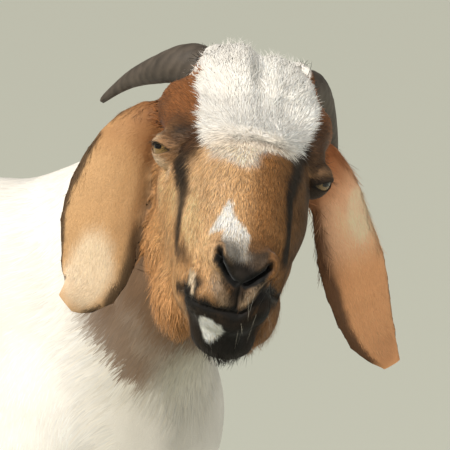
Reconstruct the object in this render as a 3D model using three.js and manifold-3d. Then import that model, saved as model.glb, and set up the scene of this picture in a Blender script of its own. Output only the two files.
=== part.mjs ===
// A lop-eared meat-breed doe standing square, her head turned to her right and tipped.
// Millimetres, +Z up. She faces -Y, so +X is her left. The floor is Z = 0.
import * as THREE from "three";
import { ParametricGeometry } from "three/addons/geometries/ParametricGeometry.js";
import { mergeVertices } from "three/addons/utils/BufferGeometryUtils.js";
import Module from "manifold-3d";

const wasm = await Module();
wasm.setup();

// ---- driving dimensions -------------------------------------------------

const GAP = 0.4; // clearance left where two pieces meet
const FIT = GAP / 2; // each side's share of a straight cut
const FOOT_GAP = 0.5; // clearance between the two claws of one foot, and over them
const EVEN = 0.1; // waviness that may be smoothed away to save triangles
const CORONET = 40; // height at which a hoof ends and the pastern begins

const HEAD_AT = new THREE.Vector3(-130, -480, 745); // midpoint between the two eyes
const HEAD_TURN = -54; // degrees about Z, towards her right
const HEAD_NOD = 8; // nose below level
const HEAD_TILT = 13; // left side of the head lower

const EYE_SIDE = 52; // eyeball centre from the head's middle plane
const EYE_UP = 4; // and above its frame's origin
const EYE_RADIUS = 14.5;

const radians = THREE.MathUtils.degToRad;
const point = (x, y, z) => new THREE.Vector3(x, y, z);

// The head's own frame: x to her left, y backwards, z up through the forehead.
const headFrame = new THREE.Matrix4().compose(
  HEAD_AT,
  new THREE.Quaternion().setFromEuler(
    new THREE.Euler(radians(HEAD_NOD), radians(HEAD_TILT), radians(HEAD_TURN), "ZXY"),
  ),
  point(1, 1, 1),
);
const onHead = (left, forward, up) => point(left, -forward, up).applyMatrix4(headFrame);
const headWay = (left, forward, up) => point(left, -forward, up).transformDirection(headFrame);

// ---- solids from surfaces -----------------------------------------------

// A closed surface as a solid, with seams and poles merged and empty triangles dropped.
function solidFrom(geometry) {
  const bare = geometry.clone();
  bare.deleteAttribute("normal");
  bare.deleteAttribute("uv");
  const merged = mergeVertices(bare, 1e-3);
  const corners = merged.index.array;
  const kept = [];
  for (let i = 0; i < corners.length; i += 3) {
    const [a, b, c] = corners.slice(i, i + 3);
    if (a !== b && b !== c && c !== a) kept.push(a, b, c);
  }
  const make = (triangles) =>
    new wasm.Manifold(
      new wasm.Mesh({
        numProp: 3,
        vertProperties: merged.attributes.position.array,
        triVerts: new Uint32Array(triangles),
      }),
    );
  const solid = make(kept);
  return solid.volume() < 0 ? make(kept.reverse()) : solid;
}

function geometryFrom(solid) {
  const mesh = solid.getMesh();
  const places = new Float32Array(mesh.numVert * 3);
  for (let i = 0; i < mesh.numVert; i++) {
    const start = i * mesh.numProp;
    places.set(mesh.vertProperties.subarray(start, start + 3), i * 3);
  }
  return new THREE.BufferGeometry()
    .setAttribute("position", new THREE.BufferAttribute(places, 3))
    .setIndex(new THREE.BufferAttribute(mesh.triVerts, 1));
}

const join = (...solids) => solids.reduce((whole, next) => whole.add(next));
const cut = (solid, ...others) => others.reduce((left, next) => left.subtract(next), solid);

// The side of a plane that its normal points to, starting GAP/2 away from it.
const keepAbove = (solid, normal, at) =>
  solid.trimByPlane(normal.toArray(), normal.dot(at) + FIT);
const keepBelow = (solid, normal, at) =>
  solid.trimByPlane(normal.clone().negate().toArray(), -normal.dot(at) + FIT);

// The largest of a solid's separate bodies, which drops slivers left by a cut.
const largest = (solid) =>
  solid.decompose().reduce((best, body) => (body.volume() > best.volume() ? body : best));

// Every number of a list of stations, read at share t of the way along by a smooth curve.
function between(stations, t) {
  const place = Math.min(t * (stations.length - 1), stations.length - 1 - 1e-9);
  const i = Math.floor(place);
  const f = place - i;
  const at = (k) => stations[Math.max(0, Math.min(stations.length - 1, k))];
  const read = {};
  for (const key of Object.keys(stations[0])) {
    const [a, b, c, d] = [at(i - 1)[key], at(i)[key], at(i + 1)[key], at(i + 2)[key]];
    const bend = 2 * a - 5 * b + 4 * c - d + (3 * b - a - 3 * c + d) * f;
    read[key] = b + 0.5 * f * (c - a + f * bend);
  }
  return read;
}

// A power that keeps its sign: 1 gives an ellipse, under 1 a fuller outline, over 1 a leaner one.
const signed = (value, power) => Math.sign(value) * Math.abs(value) ** power;

// A closed skin over rings. ring(t, angle) gives a point; both ends close on their ring's centre.
function loft(ring, around, along) {
  const centre = (t) => ring(t, 0).add(ring(t, Math.PI)).multiplyScalar(0.5);
  const surface = (u, v, target) => {
    const step = v * (along + 2);
    const t = Math.max(0, Math.min(1, (step - 1) / along));
    const pole = step < 0.5 || step > along + 1.5;
    target.copy(pole ? centre(t) : ring(t, u * 2 * Math.PI));
  };
  return solidFrom(new ParametricGeometry(surface, around, along + 2));
}

// A grown copy of a piece also starts this much earlier, so that it clears the piece's root.
const earlier = (t, grow) => (t === 0 ? -grow : 0);

function ellipsoid(centre, radii, around = 16) {
  const ball = new THREE.SphereGeometry(1, around, Math.round(around * 0.6));
  return solidFrom(ball.scale(...radii).translate(...centre));
}

// The same, placed and turned with the head. Centre and radii are left, forward, up.
function headEllipsoid([left, forward, up], radii, around = 10) {
  const ball = new THREE.SphereGeometry(1, around, Math.round(around * 0.6));
  ball.scale(...radii).translate(left, -forward, up);
  return solidFrom(ball.applyMatrix4(headFrame));
}

// ---- trunk --------------------------------------------------------------

// y runs from the buttocks to the breast; top and belly are heights, half is half the width.
const TRUNK = [
  { y: 398, top: 590, belly: 530, half: 26, widest: 560 },
  { y: 385, top: 622, belly: 490, half: 58, widest: 560 },
  { y: 350, top: 648, belly: 452, half: 84, widest: 560 },
  { y: 300, top: 664, belly: 425, half: 98, widest: 552 },
  { y: 235, top: 672, belly: 396, half: 108, widest: 538 },
  { y: 160, top: 668, belly: 366, half: 122, widest: 512 },
  { y: 75, top: 660, belly: 342, half: 138, widest: 492 },
  { y: -15, top: 654, belly: 328, half: 142, widest: 482 },
  { y: -100, top: 657, belly: 328, half: 132, widest: 482 },
  { y: -175, top: 667, belly: 340, half: 117, widest: 480 },
  { y: -240, top: 655, belly: 354, half: 104, widest: 478 },
  { y: -295, top: 612, belly: 376, half: 88, widest: 480 },
  { y: -335, top: 560, belly: 402, half: 66, widest: 480 },
  { y: -356, top: 515, belly: 440, half: 30, widest: 480 },
];

function trunk(grow = 0) {
  const ring = (t, angle) => {
    const s = between(TRUNK, t);
    const up = Math.cos(angle);
    const x = (s.half + grow) * signed(Math.sin(angle), up > 0 ? 0.95 : 0.85);
    const reach = grow + (up > 0 ? s.top - s.widest : s.widest - s.belly);
    return point(x, s.y, s.widest + reach * signed(up, up > 0 ? 1 : 0.9));
  };
  return loft(ring, 20, 15);
}

// ---- neck ---------------------------------------------------------------

// From deep in the chest to inside the skull.
const neckLine = new THREE.CatmullRomCurve3([
  point(0, -150, 500),
  point(0, -238, 558),
  point(-14, -322, 640),
  onHead(-6, -118, -72),
  onHead(0, -78, -30),
]);
const NECK = [
  { tall: 158, half: 86 },
  { tall: 136, half: 80 },
  { tall: 96, half: 60 },
  { tall: 74, half: 51 },
  { tall: 60, half: 44 },
];

function neckRing(t, angle) {
  const s = between(NECK, t);
  const along = neckLine.getTangent(t);
  const crest = point(0, 0, 1).lerp(headWay(0, 0, 1), t);
  const side = new THREE.Vector3().crossVectors(crest, along).normalize();
  crest.crossVectors(along, side).normalize();
  return neckLine
    .getPoint(t)
    .addScaledVector(crest, s.tall * Math.cos(angle))
    .addScaledVector(side, s.half * Math.sin(angle));
}

// ---- head ---------------------------------------------------------------

// In the head's frame, from the back of the skull to the nose. widest is a height too.
const HEAD = [
  { forward: -104, top: 14, bottom: -64, widest: -22, half: 26 },
  { forward: -90, top: 42, bottom: -94, widest: -16, half: 44 },
  { forward: -62, top: 54, bottom: -112, widest: -14, half: 55 },
  { forward: -30, top: 53, bottom: -119, widest: -14, half: 59 },
  { forward: 0, top: 46, bottom: -118, widest: -12, half: 58 },
  { forward: 32, top: 42, bottom: -111, widest: -18, half: 53 },
  { forward: 64, top: 38, bottom: -103, widest: -24, half: 46 },
  { forward: 94, top: 32, bottom: -96, widest: -26, half: 41 },
  { forward: 120, top: 22, bottom: -87, widest: -28, half: 37 },
  { forward: 141, top: 8, bottom: -76, widest: -30, half: 33 },
  { forward: 156, top: -4, bottom: -64, widest: -31, half: 27 },
  { forward: 165, top: -14, bottom: -50, widest: -31, half: 18 },
];

function headRing(t, angle) {
  const s = between(HEAD, t);
  const up = Math.cos(angle);
  const left = s.half * signed(Math.sin(angle), up > 0 ? 0.85 : 0.95);
  const reach = up > 0 ? s.top - s.widest : s.widest - s.bottom;
  return onHead(left, s.forward, s.widest + reach * signed(up, up > 0 ? 0.9 : 0.95));
}

// What stands proud of the plain skull, listed for her left side: centre, radii.
const HEAD_SWELLINGS = {
  orbit: [[45, -9, 7], [19, 28, 24]],
  temple: [[44, -48, 20], [26, 32, 25]],
  cheek: [[33, -10, -68], [26, 52, 44]],
  jaw: [[24, 48, -84], [27, 50, 32]],
  nostril: [[19, 150, -6], [15, 15, 13]],
  lip: [[16, 145, -38], [21, 20, 19]],
};
const TOPKNOT = [[2, -62, 46], [52, 42, 29]];
const CHIN = [[1, 128, -70], [27, 28, 21]];

const eyeBall = (side, grow = 0) =>
  headEllipsoid([side * EYE_SIDE, 0, EYE_UP], Array(3).fill(EYE_RADIUS + grow), 12);

function headSolid() {
  const swellings = Object.values(HEAD_SWELLINGS).flatMap(([[left, forward, up], radii]) =>
    [1, -1].map((side) => headEllipsoid([side * left, forward, up], radii)),
  );
  return join(
    loft(headRing, 18, 16),
    ...swellings,
    headEllipsoid(...TOPKNOT, 14),
    headEllipsoid(...CHIN),
  );
}

// ---- horns --------------------------------------------------------------

// Centre lines in the head's frame, each with the radius there.
const HORNS = {
  left: [
    { left: 29, forward: -66, up: 30, radius: 17 },
    { left: 38, forward: -82, up: 39, radius: 16.5 },
    { left: 50, forward: -99, up: 35, radius: 14.5 },
    { left: 65, forward: -119, up: 12, radius: 11 },
    { left: 79, forward: -135, up: -15, radius: 6.5 },
    { left: 89, forward: -143, up: -38, radius: 2.8 },
  ],
  right: [
    { left: -28, forward: -64, up: 29, radius: 17 },
    { left: -34, forward: -80, up: 40, radius: 16.5 },
    { left: -48, forward: -94, up: 38, radius: 15 },
    { left: -65, forward: -107, up: 25, radius: 11.5 },
    { left: -86, forward: -127, up: 3, radius: 6.5 },
    { left: -103, forward: -142, up: -25, radius: 2.8 },
  ],
};
const HORN_ROOM = 0.8; // clearance cut for a horn
const HORN_DEPTH = 1.1; // its section is deeper than it is wide

function horn(name, grow = 0) {
  const stations = HORNS[name];
  const line = new THREE.CatmullRomCurve3(stations.map((s) => onHead(s.left, s.forward, s.up)));
  const outward = headWay(Math.sign(stations[0].left), 0, 0);
  const ring = (t, angle) => {
    const along = line.getTangent(t);
    const deep = new THREE.Vector3().crossVectors(outward, along).normalize();
    const across = new THREE.Vector3().crossVectors(along, deep);
    const radius = between(stations, t).radius + grow;
    return line
      .getPoint(t)
      .addScaledVector(along, earlier(t, grow))
      .addScaledVector(deep, radius * HORN_DEPTH * Math.cos(angle))
      .addScaledVector(across, radius * Math.sin(angle));
  };
  return loft(ring, 10, 10);
}

// ---- ears ---------------------------------------------------------------

// Each hangs by its own weight, so the two lie differently on the tipped head.
// Centre line, and where the broad face looks, in the head's frame.
const RIGHT_EAR = {
  line: [
    [-44, -60, 2],
    [-63, -59, -3],
    [-79, -54, -20],
    [-88, -44, -48],
    [-90, -34, -80],
    [-87, -28, -108],
    [-90, -21, -130],
    [-103, -12, -142],
  ],
  faces: [-0.35, 0.92, 0.15],
};
const LEFT_EAR = {
  line: [
    [44, -60, 0],
    [64, -60, -8],
    [84, -56, -28],
    [100, -47, -54],
    [114, -38, -80],
    [125, -30, -104],
    [137, -20, -124],
    [152, -10, -137],
  ],
  faces: [0.64, 0.75, 0.15],
};
// Half width, half thickness, and how far the margins curl back, from root to tip.
const EAR = [
  { half: 19, thick: 14, curl: 0 },
  { half: 21, thick: 11, curl: 2 },
  { half: 26, thick: 7, curl: 5 },
  { half: 32, thick: 3.6, curl: 8 },
  { half: 35, thick: 2.9, curl: 8 },
  { half: 31, thick: 2.7, curl: 6 },
  { half: 24, thick: 2.5, curl: 4 },
  { half: 9, thick: 2, curl: 0 },
];

const EAR_ROOM = 1; // clearance cut for an ear, whose rings stand askew to its face

function ear({ line, faces }, grow = 0) {
  const middle = new THREE.CatmullRomCurve3(line.map((p) => onHead(...p)));
  const front = headWay(...faces);
  const ring = (t, angle) => {
    const s = between(EAR, t);
    const along = middle.getTangent(t);
    const across = new THREE.Vector3().crossVectors(along, front).normalize();
    const outward = new THREE.Vector3().crossVectors(across, along).normalize();
    const edge = Math.cos(angle);
    const through = (s.thick + 2.5 * grow) * Math.sin(angle) - s.curl * edge ** 2;
    return middle
      .getPoint(t)
      .addScaledVector(along, earlier(t, grow))
      .addScaledVector(across, (s.half + grow) * edge)
      .addScaledVector(outward, through);
  };
  return loft(ring, 14, 13);
}

// ---- legs ---------------------------------------------------------------

// Stations from inside the body down to the coronet. x is out from the middle plane.
const FORELEG = [
  { x: 62, y: -212, z: 560, wide: 34, deep: 62 },
  { x: 78, y: -226, z: 490, wide: 38, deep: 74 },
  { x: 84, y: -222, z: 420, wide: 34, deep: 60 },
  { x: 83, y: -214, z: 360, wide: 28, deep: 41 },
  { x: 79, y: -217, z: 300, wide: 22, deep: 29 },
  { x: 76, y: -221, z: 250, wide: 18, deep: 21 },
  { x: 75, y: -225, z: 216, wide: 20.5, deep: 22 },
  { x: 74, y: -224, z: 184, wide: 16, deep: 17.5 },
  { x: 73, y: -223, z: 140, wide: 13.5, deep: 15.5 },
  { x: 72, y: -223, z: 102, wide: 15.5, deep: 17.5 },
  { x: 72, y: -226, z: 78, wide: 19, deep: 21 },
  { x: 72, y: -235, z: 56, wide: 18, deep: 19 },
  { x: 72, y: -242, z: CORONET + FOOT_GAP, wide: 22, deep: 24 },
];
const HINDLEG = [
  { x: 56, y: 300, z: 590, wide: 34, deep: 62 },
  { x: 74, y: 286, z: 520, wide: 44, deep: 92 },
  { x: 82, y: 268, z: 452, wide: 42, deep: 92 },
  { x: 85, y: 256, z: 396, wide: 36, deep: 74 },
  { x: 82, y: 268, z: 340, wide: 28, deep: 48 },
  { x: 78, y: 300, z: 290, wide: 20, deep: 32 },
  { x: 75, y: 326, z: 252, wide: 18, deep: 27 },
  { x: 74, y: 338, z: 224, wide: 19, deep: 27 },
  { x: 73, y: 336, z: 190, wide: 15.5, deep: 19 },
  { x: 72, y: 330, z: 145, wide: 14, deep: 16.5 },
  { x: 72, y: 324, z: 104, wide: 15.5, deep: 17.5 },
  { x: 72, y: 318, z: 78, wide: 19, deep: 21 },
  { x: 72, y: 309, z: 56, wide: 18, deep: 19 },
  { x: 72, y: 301, z: CORONET + FOOT_GAP, wide: 22, deep: 24 },
];

// How far each foot stands from its plain place: y back, side out from the middle.
const STANCE = [
  { name: "foreleg_right", stations: FORELEG, side: -1, back: 12, out: 2 },
  { name: "foreleg_left", stations: FORELEG, side: 1, back: -22, out: -2 },
  { name: "hindleg_right", stations: HINDLEG, side: -1, back: -26, out: 3 },
  { name: "hindleg_left", stations: HINDLEG, side: 1, back: 18, out: 0 },
];

// The share of a foot's shift that reaches a height: none at the hip, all at the floor.
const shifted = (z) => THREE.MathUtils.clamp((430 - z) / 390, 0, 1);

function leg({ stations, side, back, out }, grow = 0) {
  const ring = (t, angle) => {
    const s = between(stations, t);
    const x = s.x + out * shifted(s.z) + (s.wide + grow) * Math.sin(angle);
    const y = s.y + back * shifted(s.z) + (s.deep + grow) * Math.cos(angle);
    return point(side * x, y, s.z - earlier(t, grow));
  };
  return loft(ring, 10, 16);
}

const footOf = ({ stations, side, back, out }) => {
  const last = stations.at(-1);
  return point(side * (last.x + out), last.y + back, 0);
};

// ---- feet ---------------------------------------------------------------

// One claw's outline at each height: toe and heel are reaches ahead of and behind the foot.
const CLAW = [
  { z: 0, toe: 43, heel: 24, half: 11.5 },
  { z: 14, toe: 38, heel: 25.5, half: 12 },
  { z: 28, toe: 29, heel: 25, half: 11.8 },
  { z: CORONET, toe: 22, heel: 22, half: 11 },
];
const TOE_POINT = 0.55; // how much a claw narrows by its toe

function claw(leg, side) {
  const foot = footOf(leg);
  const ring = (t, angle) => {
    const s = between(CLAW, t);
    const ahead = signed(Math.cos(angle), 0.8);
    const y = ahead > 0 ? -s.toe * ahead : -s.heel * ahead;
    const narrow = 1 - TOE_POINT * Math.max(0, ahead) ** 2;
    const across = s.half * narrow * signed(Math.sin(angle), 0.7);
    const inner = side * (s.half + FOOT_GAP / 2 + 0.8 - s.half * (1 - narrow) * 0.5);
    return point(foot.x + inner + across, foot.y + y, s.z);
  };
  return loft(ring, 14, 3);
}

const DEWCLAW = { out: 11, behind: 20, height: 74, radii: [7, 8.5, 10] };

function dewclaw(leg, side) {
  const foot = footOf(leg);
  const lift = leg.stations === FORELEG ? 8 : 9; // the fetlock lies a little behind the foot
  const centre = [foot.x + side * DEWCLAW.out, foot.y + DEWCLAW.behind + lift, DEWCLAW.height];
  return ellipsoid(centre, DEWCLAW.radii, 8);
}

// ---- tail and udder -----------------------------------------------------

const tailLine = new THREE.CatmullRomCurve3([
  point(0, 352, 622),
  point(0, 392, 640),
  point(4, 424, 640),
  point(8, 446, 618),
  point(10, 454, 584),
]);
const TAIL = [
  { half: 20, thick: 13 },
  { half: 22, thick: 12 },
  { half: 24, thick: 11 },
  { half: 19, thick: 9 },
  { half: 6, thick: 4 },
];

function tail(grow = 0) {
  const ring = (t, angle) => {
    const s = between(TAIL, t);
    const along = tailLine.getTangent(t);
    const across = point(1, 0, 0);
    const through = new THREE.Vector3().crossVectors(along, across).normalize();
    return tailLine
      .getPoint(t)
      .addScaledVector(along, earlier(t, grow))
      .addScaledVector(across, (s.half + grow) * Math.cos(angle))
      .addScaledVector(through, (s.thick + grow) * Math.sin(angle));
  };
  return loft(ring, 10, 8);
}

const UDDER = [[0, 232, 398], [44, 50, 40]];
const TEAT = { out: 22, forward: 222, height: 366, radii: [8, 8, 20] };

function udder() {
  const teats = [1, -1].map((side) =>
    ellipsoid([side * TEAT.out, TEAT.forward, TEAT.height], TEAT.radii, 8),
  );
  return join(ellipsoid(...UDDER, 12), ...teats);
}

// ---- assembly -----------------------------------------------------------

const coat = (color, roughness = 0.9) =>
  new THREE.MeshStandardMaterial({ color, roughness, metalness: 0 });
const whiteCoat = coat(0xece7de);
const tanCoat = coat(0xb9855a);
const hornSheath = coat(0x6a625c, 0.6);
const hoofHorn = coat(0x5b5048, 0.6);
const eyeGloss = coat(0xb08a4a, 0.1);
const udderSkin = coat(0xd9b3a2, 0.7);

const goat = new THREE.Group();
function add(name, solid, material) {
  const mesh = new THREE.Mesh(geometryFrom(largest(solid).simplify(EVEN)), material);
  mesh.name = name;
  goat.add(mesh);
}

const CHEST_CUT = { at: point(0, -275, 590), normal: point(-0.05, -0.7, 0.71).normalize() };
const POLL_CUT = { at: onHead(0, -98, 38), normal: headWay(0, 0.965, 0.262) };
const sides = [["left", 1], ["right", -1]];
const ears = { left: LEFT_EAR, right: RIGHT_EAR };

const core = join(trunk(), loft(neckRing, 14, 7), headSolid());
const frontEnd = keepAbove(core, CHEST_CUT.normal, CHEST_CUT.at);

const headRoom = sides.flatMap(([name, side]) => [
  horn(name, HORN_ROOM),
  ear(ears[name], EAR_ROOM),
  eyeBall(side, GAP),
]);
const head = cut(keepAbove(frontEnd, POLL_CUT.normal, POLL_CUT.at), ...headRoom);
const neck = cut(keepBelow(frontEnd, POLL_CUT.normal, POLL_CUT.at), ...headRoom);
add("head", head, tanCoat);
add("neck", neck, whiteCoat);
for (const [name, side] of sides) {
  add(`horn_${name}`, cut(horn(name), ear(ears[name], EAR_ROOM)), hornSheath);
  add(`ear_${name}`, ear(ears[name]), tanCoat);
  add(`eye_${name}`, eyeBall(side), eyeGloss);
}

const legRoom = STANCE.map((stance) => leg(stance, GAP));
add(
  "trunk",
  cut(keepBelow(core, CHEST_CUT.normal, CHEST_CUT.at), ...legRoom, tail(GAP)),
  whiteCoat,
);
add("tail", tail(), whiteCoat);
add("udder", cut(udder(), ...legRoom, trunk(GAP)), udderSkin);
for (const stance of STANCE) {
  add(stance.name, cut(leg(stance), neck), whiteCoat);
  for (const [place, side] of [["a", -1], ["b", 1]]) {
    const foot = stance.name.replace("leg", "");
    add(`hoof_${foot}_${place}`, claw(stance, side), hoofHorn);
    add(`dewclaw_${foot}_${place}`, cut(dewclaw(stance, side), leg(stance, GAP)), hoofHorn);
  }
}

// The origin is on the floor, under the middle of the whole body's box.
const box = new THREE.Box3().setFromObject(goat);
const middle = box.getCenter(new THREE.Vector3());
goat.position.set(-middle.x, -middle.y, -box.min.z);

export default goat;
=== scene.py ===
# %% [markdown]
# # A lop-eared goat, life size
# A museum model of a young doe. The solids give her outline out to the tips of her coat.
# This lesson grows the looks on them: one skin, the lids, nostrils and folds of her head,
# a coat of small solid tufts, wet eyes, ringed horns and dull hooves.

# %% Load the fixed frame
import math
from collections import namedtuple

import bmesh
import bpy
import numpy as np
from mathutils import Matrix, Vector
from mathutils import noise as mnoise
from mathutils.bvhtree import BVHTree


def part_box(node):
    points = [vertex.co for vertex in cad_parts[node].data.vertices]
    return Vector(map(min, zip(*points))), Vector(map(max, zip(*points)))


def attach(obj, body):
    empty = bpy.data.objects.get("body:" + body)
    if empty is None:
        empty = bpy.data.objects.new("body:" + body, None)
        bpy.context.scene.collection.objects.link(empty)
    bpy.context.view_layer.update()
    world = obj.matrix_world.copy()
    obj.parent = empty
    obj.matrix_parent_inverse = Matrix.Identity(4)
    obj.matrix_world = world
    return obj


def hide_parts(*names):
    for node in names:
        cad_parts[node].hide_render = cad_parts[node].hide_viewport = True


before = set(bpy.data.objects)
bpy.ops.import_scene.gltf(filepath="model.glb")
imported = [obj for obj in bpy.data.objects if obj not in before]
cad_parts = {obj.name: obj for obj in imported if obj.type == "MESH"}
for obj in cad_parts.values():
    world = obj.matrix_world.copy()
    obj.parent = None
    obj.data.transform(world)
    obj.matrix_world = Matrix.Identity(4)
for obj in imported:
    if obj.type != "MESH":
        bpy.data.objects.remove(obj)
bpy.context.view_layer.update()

MM = 0.001
print("solids loaded:", len(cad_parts))

# %% [markdown]
# ## Her own directions
# Her head is turned, nodded and tipped, so everything on it is given in the head's own frame:
# millimetres to her left, forward and up from the point between her eyes. That frame is worked
# out from the middles of the two eye solids and the three angles that her head is held at.

# %% The head's frame
HEAD_TURN, HEAD_NOD, HEAD_TILT = -54, 8, 13  # degrees about Z, X and Y, in that order
EYE_RISE = 4  # mm from the frame's origin up to the eyes' middles


def middle_of(node):
    low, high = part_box(node)
    return (low + high) / 2


def turn(degrees, axis):
    return Matrix.Rotation(math.radians(degrees), 3, axis)


eye_middles = {side: middle_of(f"eye_{side}") for side in ("left", "right")}
head_turn = turn(HEAD_TURN, "Z") @ turn(HEAD_NOD, "X") @ turn(HEAD_TILT, "Y")
head_origin = (eye_middles["left"] + eye_middles["right"]) / 2
head_origin -= head_turn @ Vector((0, 0, EYE_RISE * MM))
HEAD_AXES = np.array(head_turn)  # columns: her left, backwards, up
HEAD_ORIGIN = np.array(head_origin)


def to_head(places):
    """World metres to head millimetres: left, forward, up."""
    local = (np.asarray(places) - HEAD_ORIGIN) @ HEAD_AXES / MM
    return local * (1, -1, 1)


def from_head(places):
    """Head millimetres to world metres."""
    return (np.asarray(places, float) * (1, -1, 1) * MM) @ HEAD_AXES.T + HEAD_ORIGIN


def head_way(ways):
    """A direction in the head's frame as one in the world."""
    return (np.asarray(ways, float) * (1, -1, 1)) @ HEAD_AXES.T


print("point between the eyes (m):", HEAD_ORIGIN.round(4))

# %% [markdown]
# ## Camera, light and floor
# The camera stands on her right front quarter, a little above her head, and looks down on it
# through a long lens, so that the head fills the frame. A broad key light from the camera's left
# stands for a high sun, a pale world fills the shadows, and the floor is plain and pale.

# %% Camera
CAMERA_AZIMUTH = -55  # degrees: 0 looks along +Y, negative stands on her right
CAMERA_RISE = 16
CAMERA_DISTANCE = 2.0
FRAME_WIDTH = 0.331  # metres across the view at that distance
HEAD_LEFT_OF_AXIS, HEAD_ABOVE_AXIS = -0.0118, 0.0412
SENSOR = 36

azimuth, rise = math.radians(CAMERA_AZIMUTH), math.radians(CAMERA_RISE)
view_right = Vector((math.cos(azimuth), math.sin(azimuth), 0))
level, height = math.cos(rise), math.sin(rise)
view_back = Vector((math.sin(azimuth) * level, -math.cos(azimuth) * level, height))
view_up = view_back.cross(view_right)
aim = head_origin + view_right * HEAD_LEFT_OF_AXIS - view_up * HEAD_ABOVE_AXIS

bpy.ops.object.camera_add(location=aim + view_back * CAMERA_DISTANCE)
camera = bpy.context.object
camera.name = "camera"
camera.rotation_mode = "QUATERNION"
camera.rotation_quaternion = view_back.to_track_quat("Z", "Y")
camera.data.sensor_width = SENSOR
camera.data.lens = SENSOR * CAMERA_DISTANCE / FRAME_WIDTH
camera.data.clip_end = 100
bpy.context.scene.camera = camera
print("lens (mm):", round(camera.data.lens, 1))

# %% Small helpers for colour and nodes
def linear(hex_colour):
    """An sRGB hex colour as linear red, green and blue."""
    values = [int(hex_colour[i : i + 2], 16) / 255 for i in (0, 2, 4)]
    return np.array([v / 12.92 if v <= 0.04045 else ((v + 0.055) / 1.055) ** 2.4 for v in values])


def add_node(material, kind, settings=None, **links):
    """One node in a material, with plain values or sockets for its inputs by name or number."""
    tree = material.node_tree
    node = tree.nodes.new(kind)
    for key, value in (settings or {}).items():
        setattr(node, key, value)
    for key, value in links.items():
        socket = node.inputs[int(key[1:])] if key[1:].isdigit() else node.inputs[key.replace("_", " ")]
        if isinstance(value, bpy.types.NodeSocket):
            tree.links.new(value, socket)
        else:
            socket.default_value = value
    return node


def new_material(name):
    """A material with only its shader and output."""
    material = bpy.data.materials.new(name)
    material.use_nodes = True
    return material, material.node_tree.nodes["Principled BSDF"]


def deselect_all():
    for thing in bpy.context.selected_objects:
        thing.select_set(False)


def pick(thing):
    """Makes one object the only selected and active one."""
    deselect_all()
    thing.select_set(True)
    bpy.context.view_layer.objects.active = thing


deselect_all()

# %% Light, world and floor
def add_light(name, kind, energy, size, place, towards):
    bpy.ops.object.light_add(type=kind, location=place)
    light = bpy.context.object
    light.name = name
    light.data.energy = energy
    if kind == "AREA":
        light.data.size = size
    else:
        light.data.angle = size
    light.rotation_mode = "QUATERNION"
    light.rotation_quaternion = (Vector(place) - Vector(towards)).to_track_quat("Z", "Y")
    return light


KEY_STRENGTH, KEY_SPREAD = 3.8, 8  # watts per square metre, and degrees across
KEY_TINT = (1.0, 0.965, 0.91)
FILL_POWER, FILL_SIZE = 32, 2.5  # watts and metres
ROOM_TINT, ROOM_STRENGTH = (0.92, 0.92, 0.86), 0.17

key_way = (view_right * -0.56 + view_back * 0.62 + view_up * 0.54).normalized()
key = add_light("key_light", "SUN", KEY_STRENGTH, math.radians(KEY_SPREAD), aim + key_way * 4, aim)
key.data.color = KEY_TINT
fill_way = (view_right * 0.9 + view_back * 0.6 + view_up * 0.3).normalized()
add_light("fill_light", "AREA", FILL_POWER, FILL_SIZE, aim + fill_way * 3, aim)

world = bpy.data.worlds.new("pale_room")
bpy.context.scene.world = world
world.use_nodes = True
backdrop = world.node_tree.nodes["Background"]
backdrop.inputs["Color"].default_value = (*ROOM_TINT, 1)
backdrop.inputs["Strength"].default_value = ROOM_STRENGTH
bpy.context.scene.view_settings.view_transform = "Standard"

FLOOR_SIZE = 60  # metres, so that its edge is far outside the frame
bpy.ops.mesh.primitive_plane_add(size=FLOOR_SIZE)
floor = bpy.context.object
floor.name = "floor"
floor_paint, shader = new_material("matt_floor_paint")
shader.inputs["Base Color"].default_value = (*linear("bdbfb2"), 1)
shader.inputs["Roughness"].default_value = 0.9
floor.data.materials.append(floor_paint)
deselect_all()
print("lights: key from the camera's left, fill from its right, and a pale room")

# %% [markdown]
# ## One skin
# On a real goat one hide covers head, neck, ears, trunk and legs. Sculpting it from nothing would
# lose the solids' proportions, so copies of the solids of flesh are grown a little, until the
# clearances between them close, and remeshed with small cubes into one closed surface. The eyes
# join in as the bulge for their lids, and the first part of each horn fills its socket.

# %% Read, move and copy meshes
LEGS = ["foreleg_left", "foreleg_right", "hindleg_left", "hindleg_right"]
FLESH = ["head", "neck", "ear_left", "ear_right", "trunk", "tail", "udder"] + LEGS


def places_of(mesh):
    flat = np.empty(len(mesh.vertices) * 3)
    mesh.vertices.foreach_get("co", flat)
    return flat.reshape(-1, 3)


def set_places(mesh, places):
    mesh.vertices.foreach_set("co", np.ascontiguousarray(places, float).ravel())
    mesh.update()


def normals_of(mesh):
    flat = np.empty(len(mesh.vertices) * 3, np.float32)
    mesh.vertex_normals.foreach_get("vector", flat)
    return flat.reshape(-1, 3).astype(float)


def merged_copy(node):
    """A new object with a node's mesh, its loose triangles joined at their corners."""
    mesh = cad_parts[node].data.copy()
    mesh.materials.clear()
    shape = bmesh.new()
    shape.from_mesh(mesh)
    bmesh.ops.remove_doubles(shape, verts=shape.verts, dist=0.01 * MM)
    shape.to_mesh(mesh)
    shape.free()
    copy = bpy.data.objects.new(node + "_copy", mesh)
    bpy.context.collection.objects.link(copy)
    return copy


# %% The first part of each horn
HORN_ROOTS = {"left": (29, -66, 26), "right": (-28, -64, 25)}  # head mm
HORN_WAYS = {"left": (9, -16, 9), "right": (-6, -16, 11)}
STUMP = 24  # mm


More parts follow.
